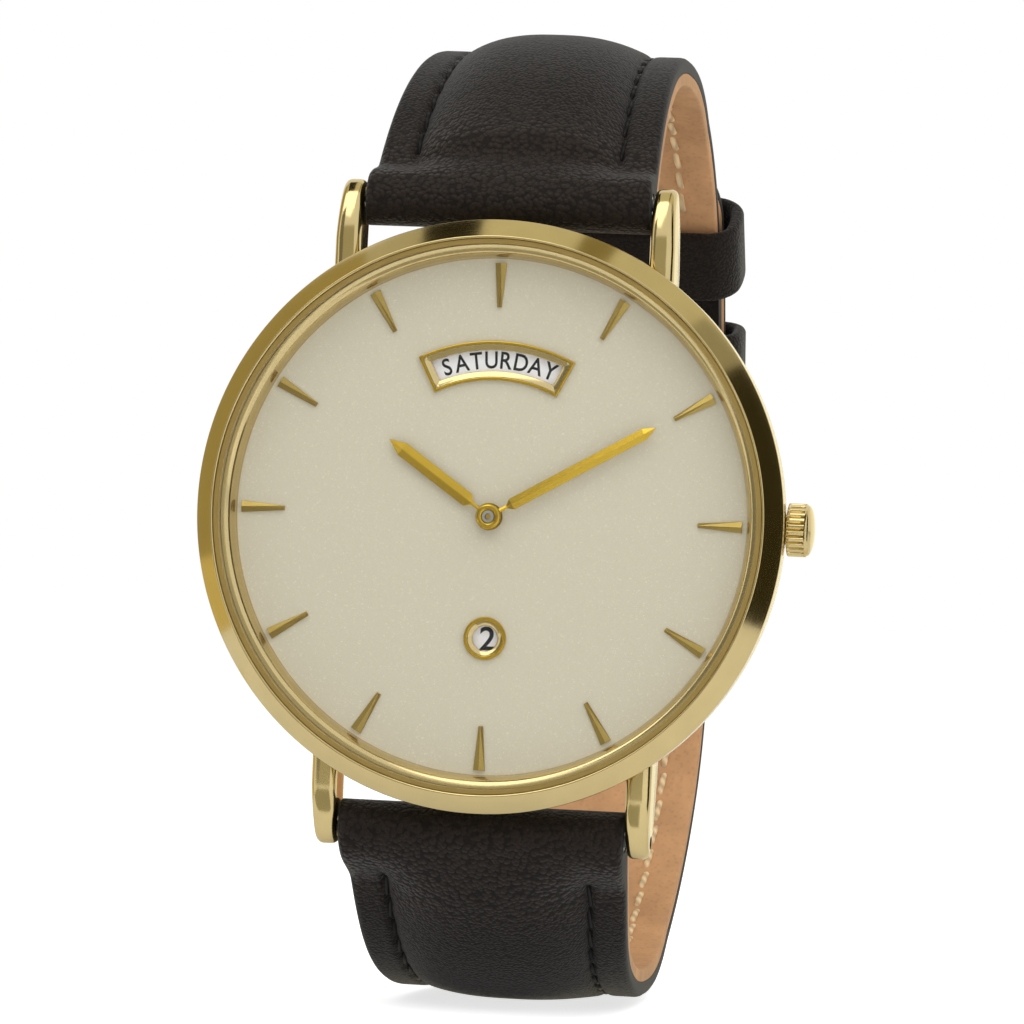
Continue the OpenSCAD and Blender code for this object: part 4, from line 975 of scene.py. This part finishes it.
class WATCH_OT_case(bpy.types.Operator):
    """Turns the case middle with its lugs, the bezel and the case back"""

    bl_idname = "watch.case"
    bl_label = "Case"

    # Place of a spring bar's axis
    bar_y, bar_z = 21.5, 1.75

    def execute(self, context):
        sizes, finish = head_job(context)
        wall_r, seat_r, dial_r, back_r = 19.92, 18.63, 17.93, 16.92
        seat_z, deck_z, dial_z = 5.3, 4.68, 4.15
        band = [(back_r, 0.35), (17.4, 0.35), (19.65, 2.93), (wall_r, 3.2), (wall_r, deck_z), (seat_r, deck_z),
                (seat_r, seat_z), (dial_r, seat_z), (dial_r, dial_z), (16.45, dial_z), (16.45, 1.25), (back_r, 1.25)]
        room = [(0, -1), (back_r, -1), (back_r, dial_z), (dial_r, dial_z), (dial_r, 6), (0, 6)]
        lug_block = drawn("lugs", merged(*[self.lug(sizes, sx, sy) for sx in (-1, 1) for sy in (-1, 1)]))
        worked(lug_block, spun(room, 144, closed=False), "DIFFERENCE")
        lugs = bmesh.new()
        lugs.from_mesh(lug_block.data)
        bpy.data.objects.remove(lug_block)
        tube = rod(1.02, 15, 22)
        tube.transform(Matrix.Translation((0, 0, 2.5)))
        tools = [tube]
        for sy in (-1, 1):
            hole = rod(0.45, -14, 14, 24)
            hole.transform(Matrix.Translation((0, self.bar_y * sy, self.bar_z)))
            tools.append(hole)
        make("case_middle_polished", on_head(spun(filleted(band, sizes.edge, 2), 288)), finish["case"], "case",
             ["case_middle"], sharp=25, joined=on_head(lugs), cut=[on_head(merged(*tools))])
        low, high = heights("bezel")
        outer, inner, edge = node_box("bezel")[1].x, 18.65, 0.08
        slope = [(inner, low), (outer - edge, low), (outer, low + edge), (outer, low + 0.8),
                 (outer - 1.15, high - 0.03), (outer - 1.19, high), (inner + edge, high), (inner, high - edge)]
        make("bezel_polished", on_head(spun(filleted(slope, 0.05, 2), 288)), finish["case"], "case",
             ["bezel"], sharp=25)
        back = [(0, 0), (16.05, 0), (16.3, 0.25), (16.9, 0.35), (16.9, 0.75), (0, 0.75)]
        make("case_back_brushed", on_head(spun(filleted(back, 0.08, 3, closed=False), 240, closed=False)),
             finish["steel"], "case", ["case_back"], sharp=25)
        finish_nodes(finish["rubber"], "case_back_gasket", "crown_gasket")
        finish_nodes(finish["gasket"], "crystal_gasket")
        return {"FINISHED"}

    def lug(self, sizes, sx, sy):
        """One lug with a rounded nose that curves down past its spring bar."""
        shoulder, reach, rise, drop = 18.5, 4.15, 2.3, 1.35
        centre = (shoulder, self.bar_z)
        nose = arc(centre, reach, rise, range(90, 0, -5)) + arc(centre, reach, drop, range(0, -71, -5))
        side = [(12, 0.75), (12, self.bar_z + rise)] + nose + [(17, 0.65)]
        shape = bar(side, sizes.lug_width, sizes.lug_rounding, 5)
        for vert in shape.verts:
            flare = 0.2 * (1 - ease(vert.co.y, 17, shoulder + reach))
            vert.co.x += 9.9 + sizes.lug_width / 2 + flare * ease(vert.co.x, 0, sizes.lug_width / 2)
        shape.transform(Matrix.Diagonal((sx, sy, 1, 1)))
        bmesh.ops.recalc_face_normals(shape, faces=shape.faces)
        return shape


class WATCH_OT_crystal(bpy.types.Operator):
    """Grinds the flat crystal with its bevelled rim"""

    bl_idname = "watch.crystal"
    bl_label = "Crystal"

    def execute(self, context):
        finish = palette(context.scene.watch_colours)
        low, high = heights("crystal")
        r, bevel = node_box("crystal")[1].x, 0.2
        profile = [(0, low), (r, low), (r, high - bevel), (r - bevel, high), (0, high)]
        make("crystal_bevelled", on_head(spun(filleted(profile, 0.04, 2, closed=False), 240, closed=False)),
             finish["crystal"], "case", ["crystal"], sharp=25)
        return {"FINISHED"}


class WATCH_OT_crown(bpy.types.Operator):
    """Cuts the fluted crown with its domed end"""

    bl_idname = "watch.crown"
    bl_label = "Crown"

    def execute(self, context):
        sizes, finish = head_job(context)
        low, high = node_box("crown")
        r, long = (high.z - low.z) / 2, high.x - low.x
        wall, edge, close, bore, floor = long - 0.55, 0.1, 0.17, 0.57, 1.18
        skirt = [(bore, 0.8), (1.3, 0.8), (1.3, -close), (r - edge, -close)]
        rise = arc((r - edge, edge - close), edge, edge, range(-60, 1, 30))
        side = [(r, edge - close + (wall - edge + close) * k / 6) for k in range(1, 7)]
        dome = arc((0, wall + edge), r - edge, long - wall - edge, range(0, 90, 6)) + [(0.0, long)]
        profile = skirt + rise + side + dome + [(0.0, floor), (bore, floor)]
        steps = sizes.flutes * 16

        def place(i, j):
            radius, along = profile[j]
            turn = math.tau * (i % steps) / steps
            if radius > 1.4 and along < wall + edge:
                depth = 0.2 * ease(along, 0.02 - close, 0.12 - close) * (1 - ease(along, wall - 0.15, wall + 0.03))
                radius -= depth * math.cos(turn * sizes.flutes / 2) ** 6
            return Vector((radius * math.cos(turn), radius * math.sin(turn), along))

        bm = rolled(steps, len(profile) - 1, place)
        stem_z = heights("crown")[0] + r
        bm.transform(HEAD @ Matrix.Translation((low.x, 0, stem_z)) @ Matrix.Rotation(math.pi / 2, 4, "Y"))
        make("crown_fluted", bm, finish["case"], "crown", ["crown"], sharp=40)
        finish_nodes(finish["brass"], "crown_tube")
        return {"FINISHED"}


class WATCH_OT_dial(bpy.types.Operator):
    """Finishes the dial and sets its ring, window frames and hands"""

    bl_idname = "watch.dial"
    bl_label = "Dial"

    # Outlines of inset or radius and height over the dial
    day_parts = {
        "rim": [(0, 0), (0, 0.24), (0.05, 0.28), (0.17, 0.28), (0.21, 0.25), (0.21, 0)],
        "bevel": [(0.22, 0), (0.22, 0.22), (0.62, 0.03), (0.62, -0.4), (0.42, -0.36), (0.42, 0)],
    }
    date_parts = {
        "rim": [(1.17, 0), (1.45, 0), (1.45, 0.17), (1.38, 0.28), (1.22, 0.28), (1.17, 0.24)],
        "bevel": [(0.86, 0.02), (0.86, -0.34), (0.95, -0.36), (0.95, 0), (1.16, 0), (1.16, 0.2)],
    }

    def execute(self, context):
        finish = palette(context.scene.watch_colours)
        low, high = heights("dial_ring")
        foot_r, rim_r, ledge_z = 17.91, 18.28, 5.32
        arch = arc((18.15, low + 0.12), -0.69, high - low - 0.15, range(80, -1, -8))
        slope = [(17.41, low), (foot_r, low), (foot_r, ledge_z), (rim_r, ledge_z), (rim_r, high)] + arch
        make("dial_ring_polished", on_head(spun(slope, 288)), finish["case"], "case",
             ["dial_ring"], sharp=25)
        windows = (("day", self.day_parts, self.day_frame), ("date", self.date_parts, self.date_frame))
        for window, parts, drawing in windows:
            for part, gold in (("rim", "trim"), ("bevel", "case")):
                rows = [(along, heights("dial")[1] + up) for along, up in parts[part]]
                make(f"{window}_frame_{part}", on_head(drawing(filleted(rows, 0.03, 2))), finish[gold], "case",
                     [f"{window}_window_frame"], sharp=25)
        finish_nodes(finish["dial"], "dial")
        finish_nodes(finish["marker"], "hour_markers")
        finish_nodes(finish["trim"], "hour_hand", "minute_hand")
        dome = arc((0.64, heights("minute_hand")[1]), -0.2, 0.11, range(0, 181, 15))
        make("minute_hand_boss", on_head(spun(dome, 64)), finish["trim"], "minute_hand", sharp=40)
        return {"FINISHED"}

    def date_frame(self, rows):
        """Rows of radius and height turned round the date window."""
        ring = spun(rows, 120)
        ring.transform(Matrix.Translation((0, DATE_Y, 0)))
        return ring

    def day_frame(self, rows):
        """Rows of inset and height carried round the arched window."""
        arch, side = 36, 6
        r1, r2, half = 9.2, 11.85, math.radians(24.5) + 0.4 / 9.6

        def spot(i, inset):
            inner, outer = r1 + inset, r2 - inset
            if i < arch:
                t, r = 2 * i / arch - 1, outer
            elif i < arch + side:
                t, r = 1, outer + (inner - outer) * (i - arch) / side
            elif i < 2 * arch + side:
                t, r = 1 - 2 * (i - arch - side) / arch, inner
            else:
                t, r = -1, inner + (outer - inner) * (i - 2 * arch - side) / side
            turn = t * (half - inset / r)
            return r * math.sin(turn), r * math.cos(turn)

        around, levels = 2 * (arch + side), len(rows)

        def place(i, j):
            inset, level = rows[j % levels]
            return Vector((*spot(i % around, inset), level))

        return rolled(around, levels, place)


class WATCH_OT_calendar(bpy.types.Operator):
    """Prints the day names and the dates on their discs"""

    bl_idname = "watch.calendar"
    bl_label = "Calendar"

    days = ("SATURDAY", "SUNDAY", "MONDAY", "TUESDAY", "WEDNESDAY", "THURSDAY", "FRIDAY")

    def execute(self, context):
        sizes, finish = head_job(context)
        self.glyphs = {}
        level = heights("dial")[1] - 0.47
        edges = {node: node_box(node)[1].x for node in ("day_disc", "date_disc")}
        for node, inner in (("day_disc", edges["date_disc"] + 0.15), ("date_disc", 7.2)):
            base, outer = heights(node)[1], edges[node] - 0.05
            coat = [(inner, base), (outer, base), (outer, level), (inner, level)]
            make(f"{node}_face", on_head(spun(coat, 160)), finish["enamel"], node, sharp=40)
        whole = bmesh.new()
        for k, day in enumerate(self.days):
            pitch = 5.57 if len(day) < 9 else 5.2
            for i, letter in enumerate(day):
                turn = math.radians(0.2 + 360 / 7 * k + (i - (len(day) - 1) / 2) * pitch)
                spot = Matrix.Rotation(-turn, 4, "Z") @ Matrix.Translation((0, 10.0, level))
                self.print_glyph(whole, letter, sizes.day_letter, 0.86, spot)
        make("day_names", on_head(whole), finish["ink"], "day_disc", sharp=40)
        whole = bmesh.new()
        for number in range(1, 32):
            turn = math.radians(360 / 31 * (number - 2))
            figures = str(number)
            wide = 1.04 if len(figures) == 1 else 0.78
            for i, figure in enumerate(figures):
                shift = Vector((0.1 + (i - (len(figures) - 1) / 2) * 0.8, DATE_Y - sizes.date_figure / 2, level))
                spot = Matrix.Rotation(-turn, 4, "Z") @ Matrix.Translation(shift)
                self.print_glyph(whole, figure, sizes.date_figure, wide, spot)
        make("date_numbers", on_head(whole), finish["ink"], "date_disc", sharp=40)
        finish_nodes(finish["enamel"], "day_disc", "date_disc")
        return {"FINISHED"}

    def glyph(self, letter):
        """A letter as a thin mesh, one unit high, standing on its middle."""
        if letter not in self.glyphs:
            text = bpy.data.curves.new("letter", "FONT")
            text.body, text.extrude, text.resolution_u, text.offset = letter, 0.01, 4, 0.013
            holder = bpy.data.objects.new("letter", text)
            bpy.context.scene.collection.objects.link(holder)
            bpy.context.view_layer.update()
            mesh = bpy.data.meshes.new_from_object(holder.evaluated_get(bpy.context.evaluated_depsgraph_get()))
            bpy.data.objects.remove(holder)
            xs, ys = [v.co.x for v in mesh.vertices], [v.co.y for v in mesh.vertices]
            tall = max(ys) - min(ys)
            mesh.transform(Matrix.Diagonal((1 / tall, 1 / tall, 1, 1))
                           @ Matrix.Translation((-(max(xs) + min(xs)) / 2, -min(ys), 0)))
            self.glyphs[letter] = mesh
        return self.glyphs[letter]

    def print_glyph(self, whole, letter, tall, wide, spot):
        """Adds a letter to a drawing at its height, width and place."""
        mesh = self.glyph(letter).copy()
        mesh.transform(spot @ Matrix.Diagonal((tall * wide, tall, 1, 1)))
        whole.from_mesh(mesh)
        bpy.data.meshes.remove(mesh)


class WATCH_OT_movement(bpy.types.Operator):
    """Finishes the works, the spring bars and the other hidden metal"""

    bl_idname = "watch.movement"
    bl_label = "Movement"

    def execute(self, context):
        finish = palette(context.scene.watch_colours)
        finish_nodes(finish["brass"], "hour_wheel", "centre_wheel", "minute_wheel", "third_wheel", "main_plate",
                     "train_bridge")
        pins = [f"{bar_name}_pin_{side}" for bar_name in ("upper_bar", "lower_bar", "buckle_bar")
                for side in ("left", "right")]
        finish_nodes(finish["steel"], "cannon_pinion", "stem", "clutch_wheel", "setting_lever", "calendar_plate",
                     "movement_screws", "battery", "battery_clip", "quartz_resonator", "coil_core", "stator",
                     "spring_bar_tubes", "spring_bar_springs", "buckle_bar_spring", *pins)
        finish_nodes(finish["magnet"], "rotor")
        finish_nodes(finish["copper"], "coil")
        finish_nodes(finish["plastic"], "movement_holder")
        finish_nodes(finish["board"], "circuit_board")
        return {"FINISHED"}


# Stage


class WATCH_OT_stage(bpy.types.Operator):
    """Sets the floor, the soft lamps, the cards and the camera"""

    bl_idname = "watch.stage"
    bl_label = "Stage"

    def execute(self, context):
        scene = context.scene
        scene.view_settings.view_transform = "Standard"
        self.white_world(scene)
        self.floor()
        self.lamp("key_softbox", (-0.25, -0.36, 0.55), 0.6, 1.5)
        self.lamp("fill_softbox", (0.42, -0.42, 0.03), 0.6, 1.0, mirrored=False)
        self.lamp("top_softbox", (0.28, -0.30, 0.50), 0.6, 2.0, mirrored=False)
        # The cards stand on these planes round the watch, in millimetres
        floor_z, side, ceiling, front, behind, thick = CAD_BOX[0].z / MM, 85, 120, -200, 160, 0.2
        cream, amber = srgb("fffae0"), srgb("ffeba2")
        for row in (
            ("right_card", (side, -62, floor_z), (side + thick, -14, 66), 0.04, amber),
            ("right_upper_card", (side, -62, 66), (side + thick, -14, 105), 0.42, cream),
            ("left_low_card", (-side - thick, -45, floor_z), (-side, 15, -13), 0.76, amber),
            ("left_card", (-side - thick, -45, -13), (-side, 15, ceiling), 0.46, amber),
            ("ceiling_left_card", (-side, -60, ceiling), (-52, 15, ceiling + thick), 0.6, cream),
            ("ceiling_dark_card", (-52, -60, ceiling), (-25, 15, ceiling + thick), 0.02, amber),
            ("ceiling_card", (-25, -60, ceiling), (18, 15, ceiling + thick), 0.76, cream),
            ("ceiling_dim_card", (18, -60, ceiling), (34, 15, ceiling + thick), 0.3, amber),
            ("ceiling_right_card", (34, -60, ceiling), (120, 15, ceiling + thick), 0.76, cream),
            ("behind_card", (-60, behind, floor_z), (160, behind + thick, 90), 1.2, cream),
            ("camera_side_card", (-90, front, floor_z), (40, front + thick, 70), 0.5, cream),
            ("front_left_card", (-300, front, floor_z), (-90, front + thick, 170), 0.25, cream),
            ("floor_card", (-75, -130, floor_z + 0.3), (10, -48, floor_z + 0.3 + thick), 0.45, cream),
            ("under_card", (-60, -12, floor_z + 0.3), (60, 80, floor_z + 0.3 + thick), 0.85, cream),
        ):
            self.card(*row)
        self.camera(scene)
        return {"FINISHED"}

    def white_world(self, scene):
        """White to the eye and in reflections, softer as a light."""
        scene.world = bpy.data.worlds.new("studio")
        scene.world.use_nodes = True
        tree = scene.world.node_tree
        back = tree.nodes["Background"]
        back.inputs["Color"].default_value = (1, 1, 1, 1)
        ray = add(tree, "LightPath").outputs
        seen = ray["Is Camera Ray"]
        for kind in ("Is Glossy Ray", "Is Transmission Ray"):
            seen = add(tree, "Math", {0: seen, 1: ray[kind]}, operation="MAXIMUM").outputs[0]
        level = add(tree, "MapRange", {"Value": seen, "To Min": 0.34, "To Max": 1.0}).outputs["Result"]
        tree.links.new(level, back.inputs["Strength"])

    def floor(self):
        """White paper that keeps the shadow and looks dimmer in reflections."""
        bm = bmesh.new()
        bmesh.ops.create_grid(bm, x_segments=8, y_segments=8, size=4000)
        bmesh.ops.translate(bm, vec=(0, 0, CAD_BOX[0].z / MM - 0.02), verts=bm.verts)
        material, tree, paper, _ = start_material("floor_paper_matt", Base_Color=rgba(srgb("f2f2f2")), Roughness=0.9,
                                                  Specular_IOR_Level=0.0, Emission_Color=(1, 1, 1, 1))
        to_eye, in_mirror = 0.72, 0.22
        ray = add(tree, "LightPath").outputs
        mirrored = add(tree, "Math", {0: ray["Is Glossy Ray"], 1: ray["Is Transmission Ray"]}, operation="MAXIMUM")
        dim = add(tree, "Math", {0: mirrored.outputs[0], 1: in_mirror}, operation="MULTIPLY").outputs[0]
        glow = add(tree, "Math", {0: ray["Is Camera Ray"], 1: to_eye, 2: dim}, operation="MULTIPLY_ADD").outputs[0]
        tree.links.new(glow, paper.inputs["Emission Strength"])
        self.stand("floor", bm, material)

    def stand(self, name, bm, material):
        """Finishes a drawing as a piece of the stage."""
        thing = drawn(name, bm)
        thing.data.transform(Matrix.Scale(MM, 4))
        thing.data.materials.append(material)
        return thing

    def lamp(self, name, spot, size, power, mirrored=True):
        """A square softbox that faces the watch's middle."""
        lamp = bpy.data.lights.new(name, "AREA")
        lamp.shape, lamp.size, lamp.energy = "SQUARE", size, power
        holder = bpy.data.objects.new(name, lamp)
        holder.location = spot
        holder.visible_glossy = mirrored
        holder.rotation_euler = (-Vector(spot)).to_track_quat("-Z", "Y").to_euler()
        bpy.context.scene.collection.objects.link(holder)

    def card(self, name, low, high, level, tint):
        """A dull card beside the watch, seen only in reflections."""
        low, high = Vector(low), Vector(high)
        bm = bmesh.new()
        bmesh.ops.create_cube(bm, size=1)
        bmesh.ops.scale(bm, vec=high - low, verts=bm.verts)
        bmesh.ops.translate(bm, vec=(low + high) / 2, verts=bm.verts)
        material, *_ = start_material(name + "_paper_matt", Base_Color=(0, 0, 0, 1), Specular_IOR_Level=0.0,
                                      Emission_Color=rgba(tint), Emission_Strength=level)
        card = self.stand(name, bm, material)
        card.visible_camera = card.visible_diffuse = card.visible_shadow = card.visible_transmission = False

    def camera(self, scene):
        """A long lens from the right, level with the dial."""
        yaw, pitch, roll = math.radians(9.45), math.radians(-0.6), math.radians(2.55)
        distance, shift_right, shift_up = 400, 1.46, 0.32
        back = Vector((math.sin(yaw) * math.cos(pitch), math.sin(pitch), math.cos(yaw) * math.cos(pitch)))
        right = Vector((math.cos(yaw), 0, -math.sin(yaw)))
        up = back.cross(right)
        right, up = (math.cos(roll) * right + math.sin(roll) * up, math.cos(roll) * up - math.sin(roll) * right)
        spot = shift_right * right + shift_up * up + distance * back
        turn = Matrix((right, up, back)).transposed().to_4x4()
        data = bpy.data.cameras.new("camera")
        data.sensor_width, data.lens = 36, 208.8
        data.clip_start, data.clip_end = 0.01, 50
        holder = bpy.data.objects.new("camera", data)
        on_dial = HEAD @ Matrix.Translation((0, 0, heights("dial")[1]))
        place = on_dial @ Matrix.Translation(spot) @ turn
        holder.matrix_world = Matrix.Translation(place.translation * MM) @ place.to_3x3().to_4x4()
        scene.collection.objects.link(holder)
        scene.camera = holder


class WATCH_PT_panel(bpy.types.Panel):
    """Lists the watch's pieces and sizes"""

    bl_idname = "WATCH_PT_panel"
    bl_label = "Wristwatch"
    bl_space_type = "VIEW_3D"
    bl_region_type = "UI"
    bl_category = "Watch"

    def draw(self, context):
        for operator in OPERATORS:
            self.layout.operator(operator.bl_idname)
        for group in (context.scene.watch_strap, context.scene.watch_head, context.scene.watch_colours):
            box = self.layout.box()
            for name in group.__annotations__:
                box.prop(group, name)


GROUPS = (WatchStrapSizes, WatchHeadSizes, WatchColours)
OPERATORS = (WATCH_OT_stage, WATCH_OT_case, WATCH_OT_crystal, WATCH_OT_crown, WATCH_OT_dial, WATCH_OT_calendar,
             WATCH_OT_movement, WATCH_OT_strap, WATCH_OT_stitching, WATCH_OT_keepers, WATCH_OT_buckle)


def register():
    for made in (*GROUPS, *OPERATORS, WATCH_PT_panel):
        bpy.utils.register_class(made)
    bpy.types.Scene.watch_strap = PointerProperty(type=WatchStrapSizes)
    bpy.types.Scene.watch_head = PointerProperty(type=WatchHeadSizes)
    bpy.types.Scene.watch_colours = PointerProperty(type=WatchColours)


def unregister():
    del bpy.types.Scene.watch_colours, bpy.types.Scene.watch_head, bpy.types.Scene.watch_strap
    for made in reversed((*GROUPS, *OPERATORS, WATCH_PT_panel)):
        bpy.utils.unregister_class(made)


def main():
    register()
    for operator in OPERATORS:
        getattr(bpy.ops.watch, operator.bl_idname.split(".")[1])()


if __name__ == "__main__":
    main()
